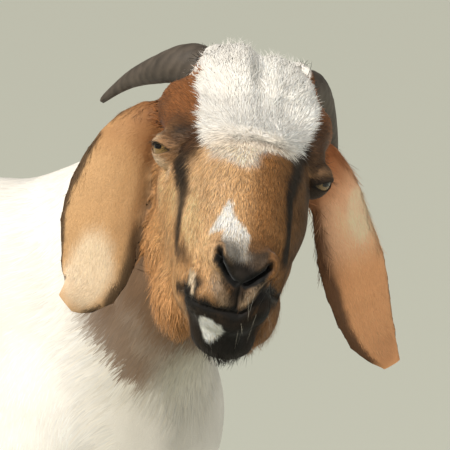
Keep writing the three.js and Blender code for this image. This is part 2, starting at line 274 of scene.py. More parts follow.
def stump(side):
    """The first part of a horn, cut off flat."""
    piece = merged_copy(f"horn_{side}")
    root, way = np.array(HORN_ROOTS[side], float), np.array(HORN_WAYS[side], float)
    way /= np.linalg.norm(way)
    shape = bmesh.new()
    shape.from_mesh(piece.data)
    cut = bmesh.ops.bisect_plane(
        shape, geom=shape.verts[:] + shape.edges[:] + shape.faces[:],
        plane_co=from_head(root + way * STUMP), plane_no=head_way(way), clear_outer=True,
    )
    rim = [part for part in cut["geom_cut"] if isinstance(part, bmesh.types.BMEdge)]
    bmesh.ops.holes_fill(shape, edges=rim)
    shape.to_mesh(piece.data)
    shape.free()
    return piece


# %% Join the flesh and remesh it
CLOSING = 1.3  # mm that each copy grows, more than half the widest clearance
FINE_EDGE = 2.1  # mm between points on the head

flesh = [merged_copy(node) for node in FLESH + ["eye_left", "eye_right"]]
flesh += [stump(side) for side in HORN_ROOTS]
for piece in flesh:
    set_places(piece.data, places_of(piece.data) + normals_of(piece.data) * CLOSING * MM)
deselect_all()
for piece in flesh:
    piece.select_set(True)
bpy.context.view_layer.objects.active = flesh[0]
bpy.ops.object.join()
skin = bpy.context.object
skin.name = skin.data.name = "skin"
skin.data.remesh_voxel_size = FINE_EDGE * MM
bpy.ops.object.voxel_remesh()
print("remeshed:", len(skin.data.polygons), "faces")

# %% [markdown]
# The facets are smoothed away first. A plain average would also shrink the legs and ears, so each
# round pulls the points to their neighbours' middle and then pushes them back a little further.
# After that the body is thinned, as it needs less detail than the head.

# %% Averages over neighbours
SHRINK, REGROW = 0.6, 0.612  # shares of the way to the neighbours' middle, there and back


def edges_of(mesh):
    flat = np.empty(len(mesh.edges) * 2, np.int64)
    mesh.edges.foreach_get("vertices", flat)
    return flat.reshape(-1, 2)


def spread(values, edges, rounds, weight=1.0):
    """Averages values with their neighbours along the edges, round by round."""
    ends, others = np.concatenate((edges, edges[:, ::-1])).T
    count = np.maximum(np.bincount(ends, minlength=len(values)), 1)[:, None]
    columns = np.array(values, float).reshape(len(values), -1)
    for _ in range(rounds):
        sums = [np.bincount(ends, column[others], len(columns)) for column in columns.T]
        columns = columns + (np.stack(sums, 1) / count - columns) * weight
    return columns.reshape(np.shape(values))


def smooth(places, edges, rounds):
    for _ in range(rounds):
        places = spread(places, edges, 1, SHRINK)
        places = spread(places, edges, 1, -REGROW)
    return places


# %% Thin the body
HEAD_LOW, HEAD_HIGH = (-175, -112, -165), (180, 185, 100)  # head mm: left, forward, up
BODY_TRIANGLES = 32000
ROUGHENING = 0.3  # mm, so that flat facets thin into even triangles and not into slivers
dice = np.random.default_rng(7)


def near_head(local):
    return ((local > HEAD_LOW) & (local < HEAD_HIGH)).all(1)


places = smooth(places_of(skin.data), edges_of(skin.data), 12)
on_head = near_head(to_head(places))
places[~on_head] += dice.uniform(-ROUGHENING, ROUGHENING, ((~on_head).sum(), 3)) * MM
set_places(skin.data, places)
body_group = skin.vertex_groups.new(name="body")
body_group.add(np.flatnonzero(~on_head).tolist(), 1.0, "REPLACE")
thinning = skin.modifiers.new("thin_body", "DECIMATE")
thinning.vertex_group = "body"
thinning.ratio = (BODY_TRIANGLES / 2 + on_head.sum()) / len(skin.data.polygons)
thinning.use_collapse_triangulate = True
pick(skin)
bpy.ops.object.modifier_apply(modifier=thinning.name)
skin.vertex_groups.clear()

# %% Smooth what is left of the facets
EARS_FROM = 66  # mm to either side; the thin ears are smoothed less
edges = edges_of(skin.data)
places = places_of(skin.data)
local = to_head(places)
on_ear = near_head(local) & (np.abs(local[:, 0]) > EARS_FROM)
firmness = spread(np.where(on_ear, 1.0, 0.0), edges, 6)[:, None]
softly = smooth(places, edges, 110)
fully = smooth(softly, edges, 60)
set_places(skin.data, fully * (1 - firmness) + softly * firmness)
print("thinned:", len(skin.data.polygons), "triangles")

# %% [markdown]
# The eyes, the nostrils and the mouth need finer points than the rest, so the faces round them
# are cut in four.

# %% Cut the faces finer round the eyes and on the muzzle
EYE_RADIUS = 14.5  # mm
EYES = {"left": (52, 0, EYE_RISE), "right": (-52, 0, EYE_RISE)}  # head mm
LIDS_WIDTH = 11  # mm beyond the eyeball
MUZZLE_FROM, MUZZLE_SIDE = 122, 60  # mm forward, and to either side

centres = np.empty(len(skin.data.polygons) * 3, np.float32)
skin.data.polygons.foreach_get("center", centres)
local = to_head(centres.reshape(-1, 3).astype(float))
fine = (local[:, 1] > MUZZLE_FROM) & (np.abs(local[:, 0]) < MUZZLE_SIDE)
for eye in EYES.values():
    fine |= np.linalg.norm(local - eye, axis=1) < EYE_RADIUS + LIDS_WIDTH
pick(skin)
bpy.ops.object.mode_set(mode="EDIT")
bpy.ops.mesh.select_mode(type="FACE")
bpy.ops.mesh.select_all(action="DESELECT")
bpy.ops.object.mode_set(mode="OBJECT")
skin.data.polygons.foreach_set("select", fine)
bpy.ops.object.mode_set(mode="EDIT")
bpy.ops.mesh.subdivide()
bpy.ops.mesh.select_all(action="SELECT")
bpy.ops.mesh.quads_convert_to_tris()
bpy.ops.object.mode_set(mode="OBJECT")
print("skin:", len(skin.data.polygons), "faces")

# %% [markdown]
# ## Regions and the depth of the coat
# Each point of the skin takes the name of the solid nearest to it. The solids reach out to the
# tips of the coat, so the skin sinks under them by the depth of the hair that grows there.

# %% Name the region of each point
def regions_of(places, nodes):
    corners, faces, owners = [], [], []
    for name in nodes:
        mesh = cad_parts[name].data
        start = len(corners)
        corners += [v.co.copy() for v in mesh.vertices]
        faces += [[start + i for i in p.vertices] for p in mesh.polygons]
        owners += [name] * len(mesh.polygons)
    tree = BVHTree.FromPolygons(corners, faces)
    return np.array([owners[tree.find_nearest(Vector(p))[2]] for p in places])


def fade(values, start, end):
    """0 at the start, 1 at the end and a smooth ramp between them."""
    t = np.clip((np.asarray(values, float) - start) / (end - start), 0, 1)
    return t * t * (3 - 2 * t)


def blob(places, centre, radii):
    """1 in the middle of an ellipsoid, falling smoothly to 0 at its surface."""
    span = np.linalg.norm((places - np.array(centre, float)) / np.array(radii, float), axis=1)
    return 1 - fade(span, 0, 1)


edges = edges_of(skin.data)
outer = places_of(skin.data)
region = regions_of(outer, FLESH)
local = to_head(outer)
print("points in each region:", {name: int((region == name).sum()) for name in FLESH})

# %% Sink the skin under the coat
COAT_DEPTH = {  # mm
    "head": 2.6, "neck": 7, "ear": 0.4, "trunk": 7, "tail": 2, "udder": 0.4, "foreleg": 3, "hindleg": 3,
}
MUZZLE_DEPTH, CROWN_DEPTH = 1.2, 8.5
CORONET = 2.5  # mm that the skin stands out where it closes over the top of each hoof
HOOF_TOP = max(v.co.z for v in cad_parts["hoof_fore_left_a"].data.vertices)
CROWN = (2, -40, 52), (62, 78, 50)  # middle and radii in head mm
depth = np.array([COAT_DEPTH[name.split("_")[0]] for name in region], float)
muzzle = fade(local[:, 1], 95, 140) * (region == "head")
depth = depth * (1 - muzzle) + MUZZLE_DEPTH * muzzle
crown = np.minimum(1, 2.2 * blob(local, *CROWN)) * (region == "head")
depth = depth * (1 - crown) + CROWN_DEPTH * crown
depth = spread(depth + CLOSING, edges, 12)
coronet = fade(outer[:, 2], HOOF_TOP + 14 * MM, HOOF_TOP + 4 * MM)
depth = depth * (1 - coronet) - CORONET * coronet
evenness = np.linalg.norm(spread(normals_of(skin.data), edges, 3), axis=1)
is_ear = spread(np.char.startswith(region, "ear").astype(float), edges, 4)
depth *= 1 - is_ear * (1 - fade(evenness, 0.45, 0.95))  # an ear's margin is too thin to sink
rest = outer - normals_of(skin.data) * depth[:, None] * MM
is_ear = is_ear[:, None]
rest = smooth(rest, edges, 5) * is_ear + smooth(rest, edges, 30) * (1 - is_ear)
set_places(skin.data, rest)
skin.data.shade_smooth()
print("coat depth (mm):", round(float(depth.min()), 1), "to", round(float(depth.max()), 1))

# %% [markdown]
# ## Modelling the head
# The shapes that make a goat's face are worked into the skin: the lids round each eyeball, the
# comma of each nostril, the split under the nose, the mouth and the folds beside it. Each is a
# line or a blob in head millimetres, and the skin near it moves along its own normal.

# %% Lines, creases and swellings
def line_distance(places, line):
    """The distance to a chain of straight pieces, and the share of its length passed by there."""
    best, along, run = np.full(len(places), 1e9), np.zeros(len(places)), 0.0
    for start, end in zip(line, line[1:]):
        start, way = np.array(start, float), np.subtract(end, start).astype(float)
        length = np.linalg.norm(way)
        t = np.clip((places - start) @ way / length**2, 0, 1)
        gap = np.linalg.norm(places - start - t[:, None] * way, axis=1)
        closer = gap < best
        best = np.where(closer, gap, best)
        along = np.where(closer, run + t * length, along)
        run += length
    return best, along / run


def mirrored(line):
    return [(-left, forward, up) for left, forward, up in line]


def head_normals():
    return (normals_of(skin.data) @ HEAD_AXES) * (1, -1, 1)


def crease(places, marks, line, width, depth, taper=0.25):
    """Presses a groove along a line, shallower towards its ends."""
    gap, along = line_distance(marks, line)
    ends = fade(along, 0, taper) * fade(1 - along, 0, taper) if taper else 1.0
    return places - head_normals() * (np.exp(-((gap / width) ** 2)) * depth * ends)[:, None]


def swell(places, marks, centre, radii, height):
    return places + head_normals() * (blob(marks, centre, radii) * height)[:, None]


# %% Lids
GAZE = {"left": (0.78, 0.62, 0.02), "right": (-0.87, 0.48, 0.1)}
EYE_SLOPE = {"left": (0, 1, 0.05), "right": (0, 1, 0.33)}  # from the outer to the inner corner
OPENING = 9.0  # mm from the middle of the opening to each corner
LID_UP, LID_DOWN = 3.0, 3.5  # mm from the middle of the opening to each lid
OPEN = {"left": 0.75, "right": 1.0}  # how far open each eye is
LID_THICK = 1.5
LID_EDGE = 0.9  # mm over which the lid turns in to the eyeball
UNDER_LID = 2.8  # mm that the skin lies inside the eyeball in the opening


def eye_frame(side):
    """Unit vectors of an eye in the head's frame: towards the inner corner, up and outwards."""
    out = Vector(GAZE[side]).normalized()
    inward = Vector(EYE_SLOPE[side])
    inward = (inward - out * inward.dot(out)).normalized()
    up = out.cross(inward)
    up = up if up.z > 0 else -up
    return np.array([inward, up, out])


def lid_gap(side, places):
    """Millimetres outside the edge of the opening, below zero inside, and the height on the eye."""
    ways = places - np.array(EYES[side], float)
    reach = np.linalg.norm(ways, axis=1)
    x, y, z = (ways / reach[:, None] @ eye_frame(side).T).T * EYE_RADIUS
    t = np.clip(np.abs(x) / OPENING, 0, 1)
    up, down = LID_UP * OPEN[side] * (1 - t**2.3), LID_DOWN * OPEN[side] * (1 - t**1.9)
    gap = np.maximum(y - up, -y - down)
    return np.maximum(gap, np.abs(x) - OPENING), y, z, reach


def open_lids(places):
    for side, centre in EYES.items():
        gap, y, z, reach = lid_gap(side, places)
        near = fade(z, -7, -1) * fade(reach, EYE_RADIUS + 22, EYE_RADIUS + 12)
        rim = EYE_RADIUS + LID_THICK - 0.6 * fade(gap, 1.2, 4) + 1.4 * fade(y, 0, 5)
        rim = rim - 1.3 * np.exp(-(((gap - 4.8) / 1.1) ** 2)) * fade(y, 0, 3)
        away = fade(gap, 3.0, 11.0)
        target = rim * (1 - away) + np.maximum(reach, EYE_RADIUS + 0.9) * away
        turned_in = EYE_RADIUS - UNDER_LID + (LID_THICK + UNDER_LID) * fade(gap, 0, LID_EDGE)
        target = np.where(gap < LID_EDGE, turned_in, target)
        target = reach + (target - reach) * near
        ways = (places - np.array(centre, float)) / reach[:, None]
        places = np.where(near[:, None] > 0, np.array(centre, float) + ways * target[:, None], places)
    return places


# %% Lines of nose, mouth and folds
NOSTRIL_RIGHT = [(-26, 157, 1), (-22, 162, -4), (-16, 164, -9), (-9, 165, -13), (-4, 165, -16)]
NOSTRIL_LEFT = [(21, 157, -4), (18, 158, -7), (16, 162, -10), (9, 164, -14), (4, 165, -16)]
PHILTRUM = [(0, 166, -15), (0, 166, -26), (1, 165, -38)]
MOUTH = [
    (-41, 112, -50), (-39, 128, -46), (-36, 144, -42), (-31, 157, -39), (-19, 164, -39),
    (-4, 166, -39), (5, 166, -40), (12, 165, -35), (18, 164, -27), (23, 158, -22), (29, 146, -26),
    (35, 130, -36), (38, 112, -46),
]
CORNER_FOLD = [(-30, 128, -8), (-35, 140, -20), (-36, 152, -31), (-34, 156, -40)]
CORNER_LIP = [(-38, 118, -20), (-40, 136, -32), (-39, 144, -44), (-35, 148, -58)]
CHEEK_FOLDS = [
    [(-38, 104, -2), (-41, 118, -16), (-42, 128, -30)],
    [(-42, 88, -18), (-44, 104, -34), (-42, 118, -50)],
]
SIDE_SINK = [(-43, 40, 8), (-38, 74, 4), (-33, 104, 0)]  # the hollow beside the bridge
CROWN_PARTING = [(6, 2, 52), (5, -42, 72), (3, -80, 66), (3, -120, 50)]
UNDER_WHORL = [(-8, 31, 41), (4, 28, 42), (16, 29, 41)]
marks = local.copy()  # where each point lay on the outline, for the masks


def laid(line):
    """A line with each of its points moved to the nearest point of the outline."""
    nearest = [((marks - np.array(point, float)) ** 2).sum(1).argmin() for point in line]
    return [tuple(marks[i]) for i in nearest]


NOSTRIL_RIGHT, NOSTRIL_LEFT = laid(NOSTRIL_RIGHT), laid(NOSTRIL_LEFT)
PHILTRUM, MOUTH = laid(PHILTRUM), laid(MOUTH)

# %% Smooth the muzzle, the brows and the crown, and draw the muzzle in
MUZZLE_SQUEEZE, CHIN_SQUEEZE = 0.22, 0.24  # shares of the width
work = to_head(places_of(skin.data))
muzzle_edges = edges_of(skin.data)
soften = (fade(marks[:, 1], 128, 142) * (marks[:, 2] > -70))[:, None]
work = work * (1 - soften) + smooth(work, muzzle_edges, 40) * soften


def update(places):
    set_places(skin.data, from_head(places))
    return places


for side, sign in (("left", 1), ("right", -1)):
    from_eye = np.linalg.norm(marks - np.array(EYES[side], float), axis=1)
    brow = np.minimum(1, 2 * blob(marks, (sign * 54, -18, 30), (32, 58, 38))) * fade(from_eye, 16, 27)
    work = work + (spread(work, muzzle_edges, 70, 0.6) - work) * brow[:, None]
top = np.minimum(1, 2.5 * blob(marks, *CROWN))[:, None]
work = work * (1 - top) + smooth(work, muzzle_edges, 60) * top
squeeze = fade(marks[:, 1], 132, 150) * fade(marks[:, 2], -30, -14) * (marks[:, 2] < 30)
work[:, 0] *= 1 - MUZZLE_SQUEEZE * squeeze
narrower = fade(marks[:, 1], 118, 144) * fade(marks[:, 2], -80, -64) * (marks[:, 2] < 30)
work[:, 0] -= CHIN_SQUEEZE * (narrower * (1 - squeeze)) * work[:, 0].clip(0)
update(work)

# %% Press in nostrils, mouth and folds
for line, thick in ((NOSTRIL_RIGHT, 3.4), (NOSTRIL_LEFT, 3.2)):
    gap, along = line_distance(marks, line)
    rim = np.exp(-(((gap - 6.5) / 2.6) ** 2)) * 0.9 * fade(along, 1.0, 0.4)
    hollow = np.exp(-((gap / (thick * (1 - 0.3 * along))) ** 2)) * (9.5 - 4.0 * along)
    work = update(work + head_normals() * (rim - hollow)[:, None])
for line, width, deep, taper in (
    (PHILTRUM, 1.5, 1.5, 0.12),
    (MOUTH, 1.7, 2.6, 0.1),
    (CORNER_FOLD, 2.6, 2.4, 0.3),
    (mirrored(CORNER_FOLD), 2.4, 1.6, 0.3),
    (CORNER_LIP, 2.8, 1.8, 0.3),
    (mirrored(CORNER_LIP), 2.8, 1.3, 0.3),
    (CROWN_PARTING, 10.0, 7.5, 0.3),
    (UNDER_WHORL, 3.4, 2.8, 0.3),
    (SIDE_SINK, 9.0, 2.2, 0.4),
    (mirrored(SIDE_SINK), 9.0, 2.2, 0.4),
):
    work = update(crease(work, marks, line, width, deep, taper))
for line in CHEEK_FOLDS:
    work = update(crease(work, marks, line, 2.6, 1.2, 0.4))
    work = update(crease(work, marks, mirrored(line), 2.6, 1.0, 0.4))

# %% Swell lips, brows and cheeks, and open the lids
for centre, radii, height in (
    ((-3, 164, -8), (13, 16, 11), 2.6),  # the pad between the nostrils
    ((-12, 162, -30), (15, 16, 12), 1.8),  # the two halves of the upper lip
    ((12, 161, -27), (13, 16, 11), 1.2),
    ((0, 158, -52), (24, 18, 12), 2.0),  # the lower lip
    ((-54, -12, 26), (28, 44, 26), 3.0),  # the brows
    ((52, -12, 26), (28, 44, 26), 2.6),
    ((30, -48, 66), (44, 60, 36), -6.0),  # the crown is lower on her left
    ((-15, -76, 64), (20, 36, 24), 3.0),
    ((-36, 102, -60), (19, 36, 34), 5.0),  # the cheek behind the corner of the mouth
    ((34, 100, -60), (17, 34, 34), 2.5),
    ((46, 60, -16), (26, 50, 36), 5.5),  # her left cheek under the eye
    ((50, -34, 34), (30, 40, 30), 4.5),  # and the temple over it
):
    work = update(swell(work, marks, centre, radii, height))
work = update(open_lids(work))
rest = from_head(work)
moved = np.linalg.norm(work - marks, axis=1)[region == "head"]
print("the head's points moved (mm): mean", moved.mean().round(1), "most", moved.max().round(1))

# %% [markdown]
# ## Markings
# The coat is white on body and crown, tan to rust on the head, with a split blaze, dark stripes
# from the eyes to the mouth, a dark nose and lips and a pale patch on the chin. The colours are
# worked out at every point of the skin and, from there, at the root of every tuft, so that hide
# and hair match. Shapes are outlines on the plane of the face, given as millimetres to her left
# and down the face, or lines and blobs in head millimetres. A painted image would need a seam
# somewhere; shapes in space need none, and noise frays their edges as crossing hairs do.

# %% Colours of the hair
HAIR = {
    name: linear(colour)
    for name, colour in {
        "white": "f8f3ea", "cream": "f0d6b4", "tan": "bb8a5a", "tan_light": "d3a878", "rust": "87552f",
        "brown": "523823", "dark": "281f17", "black": "0e0c09", "grey": "aca396", "lip": "a68d73",
        "chin_white": "fffdf4", "orange": "a87547", "peach": "e6bb8d", "umber": "6a4c31",
        "lid": "94704f", "pink": "d8a48f", "shade": "875829", "nose": "3a3127", "throat_shade": "b9b29e",
    }.items()
}

# %% Outlines of crown and blaze, and the lines of the stripes
FACE_DOWN = (0, 0.965, -0.26)  # down the face, from crown to nose
CROWN_OUTLINE = [
    (-42, -110), (-44, -96), (-45, -72), (-48, -64), (-41, -46), (-39, -24), (-38, 0), (-35, 20),
    (-29, 40), (-18, 53), (-7, 60), (0, 55), (5, 38), (12, 31), (24, 27), (33, 21), (38, 10),
    (44, -16), (49, -36), (52, -56), (46, -66), (42, -96), (40, -110),
]
BLAZE_OUTLINE = [
    (-16, 96), (-20, 106), (-25, 117), (-29, 124), (-22, 126), (-18, 127), (-21, 140), (-19, 152),
    (-10, 156), (-1, 150), (2, 133), (-5, 123), (-13, 113),
]
STRIPE_RIGHT = [
    (-50, 10, 19), (-48, 32, 10), (-46, 45, 6), (-45, 55, 0), (-45, 65, -11), (-44, 70, -24),
    (-43, 78, -33), (-39, 105, -26), (-35, 130, -20),
]
STRIPE_LEFT = [
    (38, 12, 32), (35, 28, 30), (34, 46, 27), (32, 75, 20), (32, 100, 9), (33, 112, 1), (34, 122, -8),
]
NAPE_EDGE = [(-84, -128, -165), (-64, -120, -200), (-48, -112, -214), (-30, -108, -232)]


# %% Noise, and the distance to an outline
def noise_at(places, scale, seed):
    """Smooth noise between about -1 and 1, with features about scale mm across."""
    shift = Vector((17.3 * seed, -9.1 * seed, 5.7 * seed))
    return np.array([mnoise.noise(Vector(p) + shift) for p in places / scale])


def outline_distance(flat, outline):
    """The distance to a closed outline on a plane, below zero inside it."""
    corners = np.array(outline, float)
    best = np.full(len(flat), 1e9)
    inside = np.zeros(len(flat), bool)
    for start, end in zip(corners, np.roll(corners, -1, 0)):
        way = end - start
        t = np.clip((flat - start) @ way / (way @ way), 0, 1)
        best = np.minimum(best, np.linalg.norm(flat - start - t[:, None] * way, axis=1))
        crosses = (start[1] > flat[:, 1]) != (end[1] > flat[:, 1])
        level = np.where(way[1] == 0, 0, (flat[:, 1] - start[1]) / (way[1] if way[1] else 1))
        inside ^= crosses & (flat[:, 0] < start[0] + level * way[0])
    return np.where(inside, -best, best)


def on_face(p):
    """Head millimetres as places on the plane of the face."""
    return np.stack((p[:, 0], p @ np.array(FACE_DOWN)), 1)


# %% A brush for the markings
class Brush:
    """Linear colours of hair whose roots lie at head millimetres p, painted one over another."""

    def __init__(self, p, regions):
        self.p, self.regions, self.head = p, regions, regions == "head"
        self.left, self.forward, self.up = p.T
        self.face = on_face(p)
        self.fray, self.ragged, self.patchy = noise_at(p, 5, 1), noise_at(p, 11, 2), noise_at(p, 34, 3)
        self.colour = np.tile(HAIR["white"], (len(p), 1))

    def paint(self, name, share):
        share = np.clip(share, 0, 1)[:, None]
        self.colour = self.colour * (1 - share) + HAIR[name] * share

    def lighten(self, share):
        self.colour = self.colour * (1 + share)[:, None]

    def along(self, line, width, soft, end_width=None):
        """1 along a line and 0 away from it, with a frayed edge."""
        gap, share = line_distance(self.p, line)
        width = width + ((end_width or width) - width) * share
        return 1 - fade(gap + self.fray * 1.6 + self.ragged * 1.8, width - soft, width + soft)

    def spot(self, centre, radii, strength):
        """1 in the middle of a ragged blob and 0 outside it; the more strength, the harder its edge."""
        return np.clip(blob(self.p + self.ragged[:, None] * 2.5, centre, radii) * strength, 0, 1)

    def dab(self, name, centre, radii, strength, share, where=1.0):
        self.paint(name, self.head * where * self.spot(centre, radii, strength) * share)

    def stroke(self, name, line, width, soft, share, end_width=None, where=1.0):
        self.paint(name, self.head * where * self.along(line, width, soft, end_width) * share)


# %% Neck, face and cheeks
def paint_neck(brush):
    p, regions, left = brush.p, brush.regions, brush.left
    from_head = np.linalg.norm((p - (0, -10, -45)) * (1, 1, 0.92), axis=1)
    from_head += brush.ragged * 4 + brush.patchy * 9
    shaded = np.isin(regions, ("neck", "trunk")) * fade(left, -100, -20)
    neck = regions == "neck"
    # painted shade: the white neck and chest under her head, on her left, are greyed for the head's shadow
    brush.paint("throat_shade", shaded * (1 - fade(from_head, 190, 330)) * 0.7)
    brush.paint("umber", neck * (1 - fade(from_head, 155, 205)) * 0.95)
    brush.paint("umber", neck * brush.along(NAPE_EDGE, 22, 15) * 0.85)


def paint_face(brush):
    paint, dab, head, ragged = brush.paint, brush.dab, brush.head, brush.ragged
    left, forward, up = brush.left, brush.forward, brush.up
    right_side = fade(left, 12, -12)
    paint("tan", head * 1.0)
    # partly painted light: the front of her right side, which faces the key light, is a lighter tan, partly
    # her own colour
    paint("tan_light", head * right_side * fade(forward, 0, 50) * 0.75)
    paint("shade", head * fade(left + ragged * 3, -10, 14) * 0.7)
    # partly painted shade: her left side, away from the key light, is darker umber as well as browner hair
    paint("umber", head * fade(left + ragged * 4, 34, 50) * 0.9)
    paint("rust", head * fade(forward + ragged * 4, 12, -16) * fade(up, -20, 0))
    dab("rust", (-46, 12, 30), (16, 44, 22), 2.0, 0.85)
    dab("brown", (-52, 4, 24), (18, 32, 20), 1.6, 0.75)
    dab("brown", (-66, -40, 22), (20, 26, 24), 1.4, 0.35)
    dab("brown", (52, -8, 24), (22, 46, 30), 2.2, 0.9)
    dab("dark", (52, 14, 6), (16, 30, 24), 1.6, 0.7)
    paint("brown", head * fade(forward + ragged * 5, -58, -84))
    # cheeks and jaw
    paint("tan", head * fade(up + ragged * 4, -8, -30) * right_side * 0.7)
    paint("orange", head * fade(up + ragged * 5, -48, -92) * 0.85)
    dab("peach", (-58, 0, -22), (20, 36, 28), 1.4, 0.5)
    # painted shade: brown on her lower jaw on her left, for the shade there
    dab("brown", (32, 120, -82), (26, 50, 28), 2.0, 0.75)
    # painted shade: the front of her left side is darkened so that it stays shaded under the fill light
    paint("umber", head * fade(left, 30, 42) * fade(forward, -10, 10) * 0.4)
    # painted light: her right bridge, cheek and jaw are lightened, as the sun lights that side
    paint("peach", head * fade(left, -6, -26) * fade(forward, 20, 60) * fade(up, -30, -5) * 0.5)
    brush.lighten(0.5 * head * fade(left + ragged * 3, -20, -50) * fade(forward, -30, 0) * fade(up, 20, 0))


# %% Stripes, crown and blaze
def paint_stripes(brush):
    dab, stroke = brush.dab, brush.stroke
    passed = line_distance(brush.p, STRIPE_RIGHT)[1]
    stroke("dark", STRIPE_RIGHT, 10.5, 5.0, 0.95 * fade(passed, 1.25, 0.5), end_width=4.5)
    dab("dark", (-46, 37, 5), (12, 17, 15), 2.2, 0.85)
    dab("dark", (-42, 24, 27), (11, 30, 17), 2.0, 0.75)
    stroke("dark", STRIPE_LEFT, 9.0, 4.0, 0.97, end_width=7.5)
    dab("dark", (50, 22, 4), (14, 26, 22), 1.8, 0.8)
    stroke("brown", [(50, 30, -8), (45, 70, -20), (40, 105, -28)], 17, 9, 0.7)


def paint_crown(brush):
    down_face, fray, ragged = brush.face[:, 1], brush.fray, brush.ragged
    upwards = (brush.up > -40) & brush.head
    crown = outline_distance(brush.face, CROWN_OUTLINE) + fray * 2.2 + ragged * 2.6
    low_edge = fade(down_face, 10, 45)  # the crown thins out gradually over the bridge
    brush.paint("white", upwards * (1 - fade(crown, -1.2 - 8 * low_edge, 1.2 + 5 * low_edge)))
    brush.paint("cream", upwards * (1 - fade(crown, -7, 1.5)) * fade(down_face + ragged * 3, 6, 34) * 0.7)
    # painted shade: a darker line in the crease under the whorl
    brush.stroke("lip", [(-9, 34, 39), (4, 31, 41), (17, 32, 40)], 2.8, 2.2, 0.8, where=upwards)
    blaze = outline_distance(brush.face, BLAZE_OUTLINE) + fray * 0.9 + ragged * 1.0
    in_blaze = upwards * (brush.up > -16) * (1 - fade(blaze, -1.4, 1.4))
    brush.paint("white", in_blaze * 0.92)
    brush.paint("grey", in_blaze * fade(down_face, 124, 140) * 0.85)
    over_nose = [(-17, 148, 8), (0, 148, 6), (14, 146, 6)]
    brush.stroke("umber", over_nose, 8, 6, 0.8, where=fade(blaze, 0, 3))
    brush.in_crown = crown < 0


# %% Nose, lips and chin
def paint_muzzle(brush):
    paint, dab, stroke, head = brush.paint, brush.dab, brush.stroke, brush.head
    fray, ragged = brush.fray, brush.ragged
    nose_top = fade(brush.face[:, 1] + fray * 2, 136, 147) * fade(np.abs(brush.left), 25, 17)
    paint("nose", head * (nose_top * (brush.up > -26)) * 0.92)
    dab("grey", (-10, 152, 2), (18, 14, 11), 2.0, 0.8)
    paint("black", head * fade(brush.forward, 118, 134) * fade(brush.up + ragged * 2, -32, -40) * 0.95)
    front = fade(brush.forward, 140, 150)
    dab("dark", (-33, 149, -33), (14, 20, 14), 2.4, 0.95)
    dab("dark", (20, 150, -22), (13, 20, 20), 2.0, 0.6)
    dab("black", (27, 149, -34), (18, 28, 20), 2.8, 0.95)
    dab("umber", (0, 165, -27), (27, 20, 18), 2.0, 0.9, where=front)
    dab("black", (-31, 150, -33), (10, 18, 13), 2.2, 0.85)
    dab("dark", (-20, 157, -35), (15, 16, 10), 2.2, 0.85, where=front)
    stroke("lip", [(-23, 158, -18), (-14, 165, -25), (-6, 165, -33)], 4.6, 2.6, 0.7, where=front)
    stroke("lip", [(17, 162, -12), (12, 165, -22), (6, 165, -30)], 5.4, 2.6, 0.85, where=front)
    dab("dark", (0, 165, -27), (9, 14, 14), 1.8, 0.75, where=front)
    stroke("black", PHILTRUM, 2.6, 2.0, 0.85)
    stroke("black", MOUTH, 5.0, 2.5, 0.95)
    stroke("dark", CORNER_LIP[1:], 6, 3, 0.8)
    stroke("cream", [(-34, 132, -29), (-33, 150, -29), (-32, 156, -32)], 3.6, 1.8, 0.95, end_width=2.5)
    for line in (NOSTRIL_RIGHT, NOSTRIL_LEFT):
        stroke("black", line, 5.6, 2.2, 1.0)
    dab("black", (-1, 164, -9), (17, 14, 13), 2.4, 0.85, where=front)
    dab("black", (2, 150, -60), (36, 30, 32), 2.2, 0.85)
    chin = brush.spot((-14, 158, -58), (15, 21, 18), 1.0) + fray * 0.12
    paint("chin_white", head * fade(chin, 0.2, 0.42))
    dab("dark", (6, 140, -84), (30, 34, 15), 1.6, 0.75)


# %% Eye rims, and the pale lids over them
def paint_lids(brush):
    for side in EYES:
        gap, y, z, reach = lid_gap(side, brush.p)
        close = brush.head * fade(z, -3, 4) * (reach < EYE_RADIUS + 14)
        if side == "right":
            brush.paint("lid", close * (1 - fade(gap, 5, 12)) * 0.85)
            brush.dab("cream", (-70, 0, 15), (12, 18, 9), 2.0, 0.75)
            brush.dab("cream", (-64, 11, -7), (15, 18, 12), 1.8, 0.6)
            brush.paint("brown", close * np.exp(-(((gap - 7.5) / 1.8) ** 2)) * fade(y, 0, 4) * 0.8)
        else:
            brush.paint("dark", close * (1 - fade(gap, 6, 14)) * 0.8)
            brush.paint("lid", close * np.exp(-(((gap - 7) / 2.4) ** 2)) * fade(y, 2, 7) * 0.8)
        brush.paint("black", close * (1 - fade(gap, 0.5, 1.5)))


# %% The ears' own directions
EARS = {
    "left": {
        "line": [(44, -60, 0), (84, -56, -28), (114, -38, -80), (137, -20, -124), (152, -10, -137)],
        "faces": (0.64, 0.75, 0.15),
        "inner": -1,
        "outer_rim": 0,
        "half_width": [(0, 12), (0.2, 24), (0.5, 30), (0.8, 24), (1, 10)],
        "pale": (104, -58, -38),
        "pale_size": (20, 24, 34),
    },
    "right": {
        "line": [(-44, -60, 2), (-79, -54, -20), (-90, -34, -80), (-90, -21, -130), (-103, -12, -142)],
        "faces": (-0.35, 0.92, 0.15),
        "inner": 1,
        "outer_rim": 1,
        "half_width": [(0, 12), (0.2, 26), (0.5, 33), (0.8, 27), (1, 12)],
        "pale": (-92, -22, -116),
        "pale_size": (27, 26, 46),
    },
}


def ear_across(side, p):
    """Signed millimetres from the ear's middle line, measured in the plane of the ear."""
    line, faces = EARS[side]["line"], np.array(EARS[side]["faces"], float)
    best, across = np.full(len(p), 1e9), np.zeros(len(p))
    for start, end in zip(line, line[1:]):
        start, way = np.array(start, float), np.subtract(end, start).astype(float)
        t = np.clip((p - start) @ way / (way @ way), 0, 1)
        ways = p - start - t[:, None] * way
        sideways = np.cross(way / np.linalg.norm(way), faces)
        gap = np.linalg.norm(ways, axis=1)
        across = np.where(gap < best, ways @ (sideways / np.linalg.norm(sideways)), across)
        best = np.minimum(best, gap)
    return across


# %% Ears
LEFT_EAR_PAINTED_LIGHT = (0.42, 0.12, 0.04)  # painted light: how much more red, green and blue her left ear is given, as it faces away from the key light
